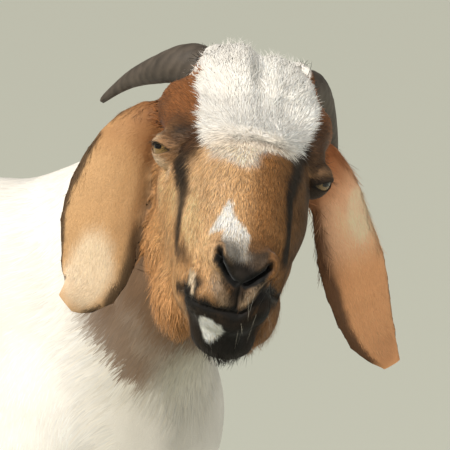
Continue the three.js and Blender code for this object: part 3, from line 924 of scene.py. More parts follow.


def paint_ears(brush):
    paint, ragged = brush.paint, brush.ragged
    for side, ear in EARS.items():
        on = brush.regions == f"ear_{side}"
        passed = line_distance(brush.p, ear["line"])[1]
        edge = ear["inner"] * ear_across(side, brush.p) / np.interp(passed, *zip(*ear["half_width"]))
        edge = edge + brush.fray * 0.06 + ragged * 0.05
        paint("tan", on * 1.0)
        # painted light: her left ear gets more light tan, and cream below, than her right, as it faces away
        # from the key light
        paint("tan_light", on * fade(passed, 0.1, 0.4) * (1.0 if side == "left" else 0.85))
        if side == "left":
            paint("cream", on * fade(passed, 0.1, 0.3) * fade(passed, 0.6, 0.4) * 0.55)
        paint("rust", on * (1 - fade(passed + ragged * 0.05, 0.05, 0.34)) * 0.85)
        paint("cream", on * brush.spot(ear["pale"], ear["pale_size"], 2.6) * 0.97)
        rim = fade(edge, 0.72, 0.98) + ear["outer_rim"] * fade(-edge, 0.9, 1.0)
        paint("dark", on * rim * fade(passed, 0.12, 0.3) * fade(passed, 1.0, 0.93) * 0.85)
        # partly painted shade: the ear's edge towards the head is umber, for its own brown and for the
        # shade beside the cheek
        paint("umber", on * fade(edge, 0.25, 0.95) * fade(passed, 0.75, 0.5) * 0.45)
    # painted light: her left ear is made brighter and warmer
    brush.colour = brush.colour * (1 + np.outer(brush.regions == "ear_left", LEFT_EAR_PAINTED_LIGHT))


# %% [markdown]
# Where the ear hangs against the cheek, and in other narrow folds, hardly any light gets in. A ray
# from each point tells whether other skin lies just over it; such points are painted brown, and no
# tufts grow there, as they would poke through the other wall.

# %% Colour the skin
SKIN_SHADE = 0.95  # the skin lies in the shade of its own hair
FOLD_REACH = 9  # mm
skin_normal = normals_of(skin.data)
skin_tree = BVHTree.FromObject(skin, bpy.context.evaluated_depsgraph_get())


def in_folds(places, normals, reach):
    """1 where other skin lies just over the skin, as in the fold between ear and cheek, else 0."""
    starts = places + normals * 0.05 * MM
    hits = [skin_tree.ray_cast(Vector(p), Vector(n), reach * MM)[0] for p, n in zip(starts, normals)]
    return np.array([hit is not None for hit in hits], float)


brush = Brush(marks, region)
for step in (paint_neck, paint_face, paint_stripes, paint_crown, paint_muzzle, paint_lids, paint_ears):
    step(brush)
# painted shade: the crown is darkened on her right, where the key light falls full on it
brush.lighten(-0.1 * brush.head * brush.in_crown * fade(brush.left, 5, -30))
brush.lighten(-0.06 * np.isin(region, ("neck", "trunk")))
beside = (np.abs(marks[:, 0]) > 46) & (np.abs(marks[:, 1:] + (30, 60)) < (60, 100)).all(1)
fold = np.zeros(len(rest))
fold[beside] = in_folds(rest[beside], skin_normal[beside], FOLD_REACH)
fold = np.clip(spread(fold, edges_of(skin.data), 4) * 1.3, 0, 1)
brush.paint("brown", fold * 0.7)
brush.paint("pink", (region == "udder") * 0.85)
brush.lighten(0.05 * brush.patchy + 0.05 * brush.ragged + 0.04 * brush.fray)
skin_colour = brush.colour
print("points of skin in folds:", int((fold > 0.5).sum()))


# %% Store the colours and make the hide
def colour_layer(mesh, name, colours):
    layer = mesh.color_attributes.new(name, "FLOAT_COLOR", "POINT")
    flat = np.ones((len(mesh.vertices), 4), np.float32)
    flat[:, :3] = np.clip(colours, 0, 1)
    layer.data.foreach_set("color", flat.ravel())


def hair_material(name, sheen, roughness):
    """Keratin with a thin film of grease: dull, a little brighter at grazing angles."""
    material, shader = new_material(name)
    colour = add_node(material, "ShaderNodeVertexColor", {"layer_name": "Markings"})
    material.node_tree.links.new(colour.outputs["Color"], shader.inputs["Base Color"])
    shader.inputs["Roughness"].default_value = roughness
    shader.inputs["Sheen Weight"].default_value = sheen
    shader.inputs["Sheen Roughness"].default_value = 0.4
    shader.inputs["Specular IOR Level"].default_value = 0.25
    return material, shader


colour_layer(skin.data, "Markings", skin_colour * SKIN_SHADE)
skin_hide, shader = hair_material("hide", 0.1, 0.75)
place = add_node(skin_hide, "ShaderNodeTexCoord").outputs["Object"]
# undercoat about 1 mm apart, seen only where the tufts are thin
fine = add_node(skin_hide, "ShaderNodeTexNoise", Vector=place, Scale=900.0, Detail=4.0)
hair_bump = add_node(skin_hide, "ShaderNodeBump", Height=fine.outputs["Fac"], Strength=0.5, Distance=0.0006)
skin_hide.node_tree.links.new(hair_bump.outputs["Normal"], shader.inputs["Normal"])
skin.data.materials.clear()
skin.data.materials.append(skin_hide)

# %% [markdown]
# ## The lie of the coat
# On a goat's head the hair spreads out from a whorl low on the forehead: up over the crown, out
# to the cheeks and down to the nose. On the ears it runs from root to tip, on the neck and trunk
# back and down, and on the legs down. The directions are averaged over the skin, so that they
# turn gradually where two regions meet.

# %% Directions of the hair over the whole skin
# a short crest that the hair leaves on all sides, in head mm
WHORL = [(-8, 31, 41), (4, 28, 43), (16, 29, 42)]
NECK_WAY, TRUNK_WAY, LEG_WAY = (0.1, 0.55, -0.8), (0, 0.85, -0.5), (0, 0.12, -1)
TAIL_ROOT = middle_of("tail") + Vector((0, -0.08, -0.03))


def unit(ways):
    return ways / np.maximum(np.linalg.norm(ways, axis=-1, keepdims=True), 1e-9)


def along_line(p, line):
    """The direction of the nearest piece of a line at each place."""
    best, ways = np.full(len(p), 1e9), np.zeros((len(p), 3))
    for start, end in zip(line, line[1:]):
        gap, _ = line_distance(p, [start, end])
        ways[gap < best] = np.subtract(end, start)
        best = np.minimum(best, gap)
    return unit(ways)


def start_ways():
    whorl = np.array(WHORL, float)
    crest = np.stack([np.interp(marks[:, 0], whorl[:, 0], column) for column in whorl.T], 1)
    ways = head_way(unit(marks - crest))
    for name in FLESH:
        on, kind = region == name, name.split("_")[0]
        if kind in ("neck", "trunk", "udder"):
            ways[on] = unit(np.array(NECK_WAY if kind == "neck" else TRUNK_WAY, float))
        elif kind in ("foreleg", "hindleg"):
            ways[on] = unit(np.array(LEG_WAY, float))
        elif kind == "tail":
            ways[on] = unit(rest[on] - np.array(TAIL_ROOT))
        elif kind == "ear":
            ways[on] = head_way(along_line(marks[on], EARS[name.split("_")[1]]["line"]))
    return ways


skin_edges = edges_of(skin.data)
lie = unit(spread(start_ways(), skin_edges, 10))
lie = unit(lie - (lie * skin_normal).sum(1)[:, None] * skin_normal)
print("mean way of the hair:", lie.mean(0).round(2))

# %% [markdown]
# ## One way to grow a piece of coat
# Roots are scattered over some of the skin's triangles and thinned to about one in each small
# cube, so that they lie evenly. A tuft is a flat tapering lock: a few three-cornered rings and a
# tip, closed at the root. Its rings are placed over the skin that lies under them, so it hugs the
# body as it bends. Its colour is the skin's at its root, a little lighter or darker from tuft to
# tuft and towards the tip.

# %% The skin's triangles
corners = np.empty(len(skin.data.polygons) * 3, np.int64)
skin.data.polygons.foreach_get("vertices", corners)
corners = corners.reshape(-1, 3)
face_middle = rest[corners].mean(1)
face_marks = marks[corners].mean(1)
face_region = region[corners[:, 0]]
first_side, second_side = (rest[corners[:, i]] - rest[corners[:, 0]] for i in (1, 2))
face_area = np.linalg.norm(np.cross(first_side, second_side), axis=1) / 2
print("skin (square metres):", face_area.sum().round(2))


# %% Scatter roots
def scatter(faces, spacing):
    """Which triangles get a root and where in them, about one root per cube of skin."""
    area = face_area[faces]
    wanted = int(area.sum() / (spacing * MM) ** 2 * 4)
    chosen = faces[dice.choice(len(faces), wanted, p=area / area.sum())]
    a, b = dice.random((2, wanted))
    flip = a + b > 1
    a, b = np.where(flip, 1 - a, a), np.where(flip, 1 - b, b)
    share = np.stack((1 - a - b, a, b), 1)
    places = (rest[corners[chosen]] * share[:, :, None]).sum(1)
    cells = np.floor((places - rest.min(0)) / (spacing * MM)).astype(np.int64)
    _, first = np.unique(np.ravel_multi_index(cells.T, cells.max(0) + 1), return_index=True)
    return chosen[first], share[first]


OPEN_AIR = 5  # mm


def in_open_air(roots, normals):
    """Whether no other skin lies just over each root, as it does inside a narrow fold."""
    return in_folds(roots, normals, OPEN_AIR) == 0


def at_roots(values, chosen, share):
    return (values[corners[chosen]] * share.reshape(share.shape + (1,) * (values.ndim - 1))).sum(1)


def swirl(ways, normals, angles):
    """Directions turned about the normals."""
    return ways * np.cos(angles)[:, None] + np.cross(normals, ways) * np.sin(angles)[:, None]


# %% The shape of a tuft
RIDGE = 0.14  # how high a tuft stands in its middle, as a share of its half width
ROOT_DEPTH = 0.15  # mm that a root lies under the skin


def half_width(share, rings):
    """A tuft's half width along its length, as a share of its width."""
    return 0.36 if share == 0 and rings > 1 else 0.5 * (1 - 0.55 * max(0, share - 0.4))


def ring_corners(spots, ways, up, half):
    """Three corners round each place: two beside it and one over it."""
    side, half = unit(np.cross(ways, up)), half[:, None]
    return np.stack((spots - side * half, spots + side * half, spots + up * half * RIDGE), 1)


def tuft_shapes(roots, normals, ways, length, width, lift, rings, turn):
    """Corner places of every tuft, three for each ring and one for the tip, the skin's normals there,
    and which tufts stay near the skin without turning further than their hide may bend."""
    parts, ups, good = [], [], np.ones(len(roots), bool)
    for ring in range(rings + 1):
        share = ring / rings
        spots = roots + ways * (length * share)[:, None]
        if ring:
            hits = [skin_tree.find_nearest(Vector(p)) for p in spots]
            found, facing = (np.array([h[i] for h in hits]) for i in (0, 1))
            good &= (facing * normals).sum(1) > turn
            good &= np.linalg.norm(found - spots, axis=1) < length * 0.6
            spots, up = found, unit(facing * 0.6 + normals * 0.4)
        else:
            up = normals
        height = lift * share**1.4 + width * 0.08 * np.sin(share * 2.6)
        spots = spots + up * (height - ROOT_DEPTH * MM * (ring == 0))[:, None]
        ups.append(np.repeat(up[:, None], 1 if ring == rings else 3, 1))
        if ring == rings:
            parts.append(spots[:, None])
        else:
            parts.append(ring_corners(spots, ways, up, width * half_width(share, rings)))
    return np.concatenate(parts, 1), np.concatenate(ups, 1), good


def tuft_faces(rings):
    """Triangles of one tuft, facing outwards."""
    faces = [(0, 1, 2)]
    for ring in range(rings - 1):
        for a, b in ((0, 1), (1, 2), (2, 0)):
            low, high = ring * 3, ring * 3 + 3
            faces += [(low + b, low + a, high + a), (low + b, high + a, high + b)]
    tip, last = rings * 3, rings * 3 - 3
    faces += [(last + b, last + a, tip) for a, b in ((0, 1), (1, 2), (2, 0))]
    return np.array(faces)


# %% One mesh of tufts
UV_PATCH = 0.003  # how much of the unwrap one tuft takes up
SOFTNESS = {  # how far the tufts are shaded as the skin under them is
    "face_coat": 0.6, "ear_coat": 0.92, "body_coat": 0.92, "leg_coat": 0.85,
}
ROOT_SHADE, TIP_SHINE = 0.9, 1.08  # of the tuft's own colour
tuft_totals = {}


def tuft_piece(name, shapes, ups, colours, spots, rings, slot):
    """One mesh of tufts with their normals, colours and places on the unwrap."""
    count, each = shapes.shape[:2]
    triangles = (tuft_faces(rings)[None] + (np.arange(count) * each)[:, None, None]).reshape(-1, 3)
    mesh = bpy.data.meshes.new(name)
    mesh.vertices.add(count * each)
    mesh.vertices.foreach_set("co", shapes.ravel())
    mesh.loops.add(triangles.size)
    mesh.loops.foreach_set("vertex_index", triangles.ravel())
    mesh.polygons.add(len(triangles))
    mesh.polygons.foreach_set("loop_start", np.arange(0, triangles.size, 3))
    mesh.update(calc_edges=True)
    mesh.shade_smooth()
    soft = unit(normals_of(mesh) * (1 - SOFTNESS[slot]) + ups.reshape(-1, 3) * SOFTNESS[slot])
    mesh.normals_split_custom_set_from_vertices(soft.astype(np.float32))
    ramp = np.array([ROOT_SHADE] * 3 + [1.0] * (each - 4) + [TIP_SHINE])
    colour_layer(mesh, "Markings", (colours[:, None] * ramp[None, :, None]).reshape(-1, 3))
    patch = UV_PATCH * np.array([(0, 0), (1, 0), (0.5, 0.2)] * rings + [(0.5, 1)], float)
    patch[:, 1] += UV_PATCH * 0.9 * np.append(np.repeat(np.arange(rings) / rings, 3), 0)
    layer = mesh.uv_layers.new(name="OFBake")
    corners_uv = ((spots * (1 - 2 * UV_PATCH))[:, None] + patch[None]).reshape(-1, 2)
    layer.data.foreach_set("uv", corners_uv[triangles.ravel()].astype(np.float32).ravel())
    piece = bpy.data.objects.new(name, mesh)
    bpy.context.collection.objects.link(piece)
    mesh.materials.append(hair)
    piece.visible_shadow = slot in ("face_coat", "ear_coat")  # the flat white coat stays soft
    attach(piece, "root")
    tuft_totals[name] = count
    print(f"{name}: {count} tufts, {len(triangles)} triangles")


# %% Grow a piece of coat
Coat = namedtuple("Coat", "spacing length width lift rings")  # mm, and how far the tip stands up


def tinted(colours, vary, dark_share=0.0):
    """The colours of tufts, each a little lighter or darker, warmer or cooler, and some of them dark."""
    count = len(colours)
    tone = 1 + vary * np.clip(dice.normal(size=count), -2, 2)
    tone *= np.where(dice.random(count) < dark_share, 0.6, 1.0)
    warmth = 1 + vary * 0.35 * dice.normal(size=count)[:, None] * np.array([-0.3, 0.2, 1.0])
    return colours * tone[:, None] * warmth


def grow(name, faces, coat, slot, unwrap, length_at=None, lift_at=None, bare=None, vary=0.05,
         wander=0.3, dark=0.0, turn=0.2):
    """A piece of coat that lies over some of the skin's triangles. Length, lift and bareness may
    change from place to place, and wander says how far the tufts stray from the lie."""
    chosen, share = scatter(faces, coat.spacing)
    p = at_roots(marks, chosen, share)
    if bare is not None:
        kept = dice.random(len(p)) > bare(p)
        chosen, share, p = chosen[kept], share[kept], p[kept]
    roots, normals = at_roots(rest, chosen, share), unit(at_roots(skin_normal, chosen, share))
    ways = unit(at_roots(lie, chosen, share))
    whorl = 1 + 1.5 * fade(line_distance(p, WHORL)[0], 30, 4)
    angles = wander * 1.2 * whorl * noise_at(p, 16, 5) + wander * 0.5 * dice.normal(size=len(p))
    ways = swirl(unit(ways - (ways * normals).sum(1)[:, None] * normals), normals, angles)
    scale = 1.0 if length_at is None else length_at(p)
    length = coat.length * scale * dice.uniform(0.75, 1.2, len(p)) * MM
    width = coat.width * np.sqrt(scale) * dice.uniform(0.8, 1.2, len(p)) * MM
    stand = 1.0 if lift_at is None else lift_at(p)
    lift = coat.lift * stand * dice.uniform(0.4, 1.3, len(p)) * MM
    shapes, ups, good = tuft_shapes(roots, normals, ways, length, width, lift, coat.rings, turn)
    good &= in_open_air(roots, normals)
    colours = tinted(at_roots(skin_colour, chosen, share), vary, dark)
    uv = np.stack(unwrap(p, roots), 1)
    tuft_piece(name, shapes[good], ups[good], colours[good], uv[good], coat.rings, slot)


# %% Grow locks that stand out
Strand = namedtuple("Strand", "count length width stand droop curl rings")


def stand_out(name, weight, strand, slot, unwrap, way, colour=None, vary=0.15):
    """Free locks that stand off the skin and droop: a fringe, wisps, lashes or whiskers. The weight of
    each triangle says how many of them grow there, and the way where they point."""
    chosen = dice.choice(len(weight), strand.count, p=weight * face_area / (weight * face_area).sum())
    share = dice.dirichlet((1, 1, 1), strand.count)
    p, roots = at_roots(marks, chosen, share), at_roots(rest, chosen, share)
    normals = unit(at_roots(skin_normal, chosen, share))
    ways = way(p, unit(at_roots(lie, chosen, share)), normals)
    flat = unit(ways - (ways * normals).sum(1)[:, None] * normals)
    flat = swirl(flat, normals, 0.3 * dice.normal(size=strand.count))
    stand = (strand.stand * dice.uniform(0.5, 1.3, strand.count))[:, None]
    heading = unit(flat * np.cos(stand) + normals * np.sin(stand))
    side = unit(np.cross(heading, normals))
    length = (strand.length * dice.uniform(0.5, 1.25, strand.count) * MM)[:, None]
    curl = strand.curl * dice.normal(size=(strand.count, 1))
    parts = []
    for ring in range(strand.rings + 1):
        along = ring / strand.rings
        bend = side * curl * along**2 + np.array((0, 0, -strand.droop)) * along**2
        spots = roots + length * (heading * along + bend) - normals * ROOT_DEPTH * MM
        if ring == strand.rings:
            parts.append(spots[:, None])
        else:
            half = np.full(strand.count, strand.width * MM * 0.5 * (1 - 0.5 * along))
            parts.append(ring_corners(spots, heading, normals, half))
    shapes, good = np.concatenate(parts, 1), in_open_air(roots, normals)
    colours = at_roots(skin_colour, chosen, share)
    if colour:
        colours = np.tile(linear(colour), (strand.count, 1))
    colours = tinted(colours, vary)
    ups = np.repeat(normals[:, None], shapes.shape[1], 1)
    uv = np.stack(unwrap(p, roots), 1)
    tuft_piece(name, shapes[good], ups[good], colours[good], uv[good], strand.rings, slot)


# %% Unwraps of the skin's own shape
DOWN, UP = np.array((0.0, 0.0, -1.0)), np.array((0.0, 0.0, 1.0))


def around(places, start, end):
    """Angle about an axis and share of the way along it, both from 0 to 1."""
    axis = unit(np.subtract(end, start).astype(float))
    ways = places - np.array(start, float)
    up = unit(UP - axis * (axis @ UP))
    side = np.cross(axis, up)
    angle = np.arctan2(ways @ side, ways @ up) / (2 * math.pi) + 0.5
    reach = ways @ axis / np.linalg.norm(np.subtract(end, start))
    return angle, np.clip(reach * 0.8 + 0.1, 0, 1)


def round_head(p, roots):
    """Longitude and latitude about the middle of the head, with the poles at nape and nose."""
    ways = unit(p - np.array((0, 20, -25), float))
    longitude = np.arctan2(ways[:, 0], ways[:, 2]) / (2 * math.pi) + 0.5
    return longitude, np.arccos(ways[:, 1].clip(-1, 1)) / math.pi


def over_ear(side):
    """The front and the back of an ear side by side, from root to tip."""
    line, faces = EARS[side]["line"], np.array(EARS[side]["faces"], float)

    def unwrap(p, roots):
        _, share = line_distance(p, line)
        stops = np.linspace(0, 1, len(line))
        middle = np.stack([np.interp(share, stops, column) for column in np.array(line, float).T], 1)
        back = (p - middle) @ faces < 0
        return np.clip(ear_across(side, p) / 160 + 0.25, 0.01, 0.49) + 0.5 * back, share

    return unwrap


# %% The finish of the hair
hair, _ = hair_material("hair", 0.06, 0.6)
print("finish:", hair.name)

# %% [markdown]
# ## The coat, region by region
# The shortest and finest tufts are on the nose, face and ears; those of the crown are long and
# stand up a little; the trunk's are the longest.

# %% Where no hair grows on the head
def face_bare(p):
    """Eye openings, nostrils, the undersides of the horns, the lips' edges and the nose pad."""
    bare = np.zeros(len(p))
    for side in EYES:
        gap, y, z, reach = lid_gap(side, p)
        bare = np.maximum(bare, (gap < 1.5) & (z > -3) & (reach < EYE_RADIUS + 12))
    for line in (NOSTRIL_RIGHT, NOSTRIL_LEFT):
        bare = np.maximum(bare, line_distance(p, line)[0] < 4.0)
    for side, root in HORN_ROOTS.items():
        way = unit(np.array(HORN_WAYS[side], float))
        out = (p - root) @ way
        off = p - root - out[:, None] * way
        bare = np.maximum(bare, (out > 5) & (np.linalg.norm(off, axis=1) < 15) & (off[:, 2] < 0))
    bare = np.maximum(bare, (line_distance(p, MOUTH)[0] < 2.4) & (p[:, 1] > 120))
    bare = np.maximum(bare, line_distance(p, PHILTRUM)[0] < 2.0)
    return np.maximum(bare, blob(p, (-1, 166, -10), (14, 14, 11)) > 0.35)


# %% How long the hair of the head is
def face_length(p):
    """Half as long on the muzzle, shorter round the eyes and longer along the jaw."""
    share = 1 - 0.5 * fade(p[:, 1], 95, 145)
    for centre in EYES.values():
        gap = np.linalg.norm(p - np.array(centre, float), axis=1)
        share *= 1 - 0.4 * fade(gap, 30, 18)
    jaw = fade(p[:, 2], -55, -90) * fade(p[:, 1], 140, 110)
    return share * (1 + 0.7 * jaw)


def crown_share(p):
    """1 on the white crown and 0 away from it."""
    face = on_face(p)
    inside = fade(-outline_distance(face, CROWN_OUTLINE), -2, 8)
    return inside * fade(face[:, 1], 52, -10) * (p[:, 2] > -10)


# %% Grow the coat on face, nape and crown
FACE = Coat(spacing=0.95, length=7.5, width=0.8, lift=0.6, rings=1)
BACK_OF_HEAD = Coat(spacing=2.2, length=12, width=1.4, lift=0.8, rings=2)
CROWN_HAIR = Coat(spacing=1.15, length=17, width=1.0, lift=1.4, rings=2)
CROWN_EDGE = 0.3  # the share of crown from which its hair is long
FREE_TURN = -0.5  # on crown and nape a tuft may bend far round the knobs at the horns
on = face_region == "head"
in_crown = crown_share(face_marks)
crown_faces = on & (in_crown > CROWN_EDGE)
in_front = on & ~crown_faces & (face_marks[:, 1] > -42)
behind = on & ~crown_faces & ~in_front
brow = face_marks[:, 2] > -8
for side, half in (("left", face_marks[:, 0] >= 0), ("right", face_marks[:, 0] < 0)):
    for part, share in (("upper", brow), ("lower", ~brow)):
        grow(
            f"face_hair_{part}_{side}", np.flatnonzero(in_front & half & share), FACE, "face_coat",
            round_head, length_at=face_length, bare=face_bare, vary=0.3, dark=0.14,
        )
grow(
    "nape_hair", np.flatnonzero(behind), BACK_OF_HEAD, "face_coat", round_head,
    bare=face_bare, vary=0.17, turn=FREE_TURN,
)
grow(
    "crown_hair", np.flatnonzero(crown_faces), CROWN_HAIR, "face_coat", round_head,
    length_at=lambda p: 0.55 + 0.45 * crown_share(p),
    lift_at=lambda p: 0.5 + 0.5 * crown_share(p) * fade(p[:, 2], 25, 60),
    vary=0.06, wander=0.45, turn=FREE_TURN,
)

# %% Grow the coat on the ears
EAR_HAIR = Coat(spacing=1.15, length=6, width=0.8, lift=0.12, rings=1)
for side in EARS:
    on_ear = np.flatnonzero(face_region == f"ear_{side}")
    grow(f"ear_hair_{side}", on_ear, EAR_HAIR, "ear_coat", over_ear(side), vary=0.1)

# %% Grow the coat on neck, trunk and tail
NECK_HAIR = Coat(spacing=2.5, length=18, width=1.5, lift=0.2, rings=2)
TRUNK_HAIR = Coat(spacing=3.1, length=20, width=2.1, lift=0.15, rings=1)
TAIL_HAIR = Coat(spacing=2.2, length=20, width=1.3, lift=1.2, rings=3)
MIDLINE = middle_of("trunk").x
NECK_LINE = (MIDLINE, 0.0, 0.56), tuple(HEAD_ORIGIN)
TRUNK_LINE = (MIDLINE, -0.32, 0.5), (MIDLINE, 0.5, 0.52)
TAIL_LINE = (MIDLINE, 0.4, 0.62), (MIDLINE, 0.55, 0.62)


def round_body(line):
    return lambda p, roots: around(roots, *line)


on_neck, trunk = np.flatnonzero(face_region == "neck"), face_region == "trunk"
grow("neck_hair", on_neck, NECK_HAIR, "body_coat", round_body(NECK_LINE), wander=0.2)
for side, half in (("left", face_middle[:, 0] >= MIDLINE), ("right", face_middle[:, 0] < MIDLINE)):
    on_side = np.flatnonzero(trunk & half)
    grow(f"trunk_hair_{side}", on_side, TRUNK_HAIR, "body_coat", round_body(TRUNK_LINE), wander=0.2)
on_tail = np.flatnonzero(face_region == "tail")
grow("tail_hair", on_tail, TAIL_HAIR, "body_coat", round_body(TAIL_LINE))

# %% Grow the coat on the legs
LEG_HAIR = Coat(spacing=3.0, length=11, width=1.5, lift=0.5, rings=1)
LEG_APART, LEG_TOP = 0.07, 0.6  # metres from the midline, and above the floor


def round_legs(p, roots):
    """Both legs of a pair side by side on one unwrap."""
    right = roots[:, 0] < MIDLINE
    across = np.abs(roots[:, 0] - MIDLINE) - LEG_APART
    angle = np.arctan2(across, roots[:, 1] - np.median(roots[:, 1])) / (2 * math.pi) + 0.5
    return (angle + right) / 2, np.clip(roots[:, 2] / LEG_TOP, 0, 1)


for pair in ("foreleg", "hindleg"):
    on_pair = np.flatnonzero(np.char.startswith(face_region, pair))
    grow(f"{pair}_hair", on_pair, LEG_HAIR, "leg_coat", round_legs, wander=0.15)

# %% [markdown]
# ## Hair that breaks the outline
# A short fringe hangs from jaw and chin, wisps stand up along the crown, longer hair edges the
# roots of the ears, and fine lashes and whiskers stand round the eyes and mouth. The coat above
# lies flat, so without these few free locks the outline would look cut from card.

# %% Fringes of jaw and cheek
HEAD_UP = head_way(np.array((0.0, -0.25, 1.0)))
face_normal = unit(skin_normal[corners].mean(1))
low, forward = face_marks[:, 2], face_marks[:, 1]


def leaning(towards, share):
    """A way for strands: mostly along the coat, partly towards one direction."""
    return lambda p, ways, normals: unit(ways * (1 - share) + np.array(towards) * share)


jaw = on * fade(low, -62, -92) * fade(forward, -30, 0) * fade(face_normal @ DOWN, -0.15, 0.25)
fringe = Strand(count=3400, length=10, width=0.5, stand=0.22, droop=0.25, curl=0.15, rings=3)
stand_out("jaw_fringe", jaw, fringe, "face_coat", round_head, leaning(DOWN, 0.6))
side_jaw = on * fade(low, -30, -80) * fade(forward, 120, 60) * (face_marks[:, 0] < 0)
fringe = Strand(count=3000, length=13, width=0.5, stand=0.16, droop=0.1, curl=0.12, rings=3)
stand_out("cheek_fringe", side_jaw, fringe, "face_coat", round_head, leaning(DOWN, 0.5))

# %% Wisps of crown, crest and horn roots
tops = on * fade(in_crown, 0.2, 0.6) * fade(low, 52, 68)
wisps = Strand(count=420, length=13, width=0.35, stand=0.4, droop=0.05, curl=0.3, rings=3)
stand_out("crown_wisps", tops, wisps, "face_coat", round_head, leaning(HEAD_UP, 0.55), vary=0.05)
crest = on * np.exp(-((line_distance(face_marks, WHORL)[0] / 5) ** 2))
wisps = Strand(count=420, length=9, width=0.6, stand=0.25, droop=0.1, curl=0.3, rings=3)
stand_out("crest_hair", crest, wisps, "face_coat", round_head, leaning(DOWN, 0.75), "e9e0d0", vary=0.06)
edge = on * np.exp(-(((in_crown - CROWN_EDGE) / 0.2) ** 2)) * (low > 10)
wisps = Strand(count=700, length=11, width=0.45, stand=0.18, droop=0.05, curl=0.2, rings=3)
stand_out("crown_edge", edge, wisps, "face_coat", round_head, leaning(DOWN, 0.2), vary=0.06)
from_horns = [
    np.linalg.norm(face_marks - np.array(root, float), axis=1) for root in HORN_ROOTS.values()
]
knobs = on * np.exp(-(((np.min(from_horns, 0) - 21) / 8) ** 2)) * fade(in_crown, 0.1, 0.4)
wisps = Strand(count=1300, length=11, width=0.5, stand=0.3, droop=0.1, curl=0.25, rings=3)
stand_out("horn_root_hair", knobs, wisps, "face_coat", round_head, leaning(HEAD_UP, 0.15), vary=0.12)

# %% Wisps along the back
body_top = np.isin(face_region, ("neck", "trunk")) * fade(face_normal @ DOWN, 0.2, -0.6)
wisps = Strand(count=2600, length=18, width=0.45, stand=0.07, droop=0.05, curl=0.15, rings=3)
stand_out(
    "back_wisps", body_top, wisps, "body_coat", round_body(TRUNK_LINE), leaning(DOWN, 0.0), vary=0.04,
)

# %% Fringes of the ears, and lashes
EDGING = {
    "left": Strand(count=620, length=12, width=0.45, stand=0.25, droop=0.15, curl=0.15, rings=3),
    "right": Strand(count=300, length=7, width=0.45, stand=0.2, droop=0.1, curl=0.1, rings=3),
}
LASHES = Strand(count=46, length=6.5, width=0.28, stand=0.8, droop=0.2, curl=0.1, rings=3)
for side, edging in EDGING.items():
    ear = EARS[side]
    passed = line_distance(face_marks, ear["line"])[1]
    rim = np.abs(ear_across(side, face_marks)) / np.interp(passed, *zip(*ear["half_width"]))
    near_root = fade(passed, 0.62, 0.4) * fade(passed, 0.05, 0.15)
    ear_rim = (face_region == f"ear_{side}") * fade(rim, 0.75, 0.95) * near_root
    stand_out(f"ear_fringe_{side}", ear_rim, edging, "ear_coat", over_ear(side), leaning(DOWN, 0.5))
    gap, y, z, reach = lid_gap(side, face_marks)
    upper_lid = on * (gap > 0.4) * (gap < 1.6) * (y > 1) * (z > 2) * (reach < EYE_RADIUS + 6)
    outwards = head_way(np.array(GAZE[side]) + np.array((0, 0, -0.5)))
    stand_out(
        f"lashes_{side}", upper_lid * 1.0, LASHES, "face_coat", round_head, leaning(outwards, 0.85),
        "1c1712",
    )

# %% Whiskers
WHISKERS = Strand(count=40, length=15, width=0.13, stand=0.7, droop=0.35, curl=0.3, rings=4)
from_mouth = np.abs(line_distance(face_marks, MOUTH)[0] - 13)
bristly = on * (forward > 128) * fade(from_mouth, 9, 4) * (np.abs(face_marks[:, 0]) > 8)
stand_out("whiskers", bristly, WHISKERS, "face_coat", round_head, leaning(DOWN, 0.35), "cfc8b8")
print("tufts in all:", sum(tuft_totals.values()))

# %% [markdown]
# ## Eyes, horns, hooves and dewclaws
# These stay their own pieces, because they are other stuff than the hide: wet, clear cornea and
# dull, ringed horn. The eyes are finer balls in the places of the solids, with an amber iris and
# the level slot of a goat's pupil drawn by sums on their own map. Horns, hooves and dewclaws are
# smoothed copies of their solids; the horns get their rings from the distance along the horn,
# stored on their points.

# %% The finish of the eyes
MAP_SPAN = 40  # mm across the eye's map
PUPIL = (0.12, 0.045)  # half width and half height on the map
PUPIL_RISE = 0.035  # the iris looks a little up, under the lid
IRIS_RADIUS, IRIS_BLUR = 0.29, 0.012


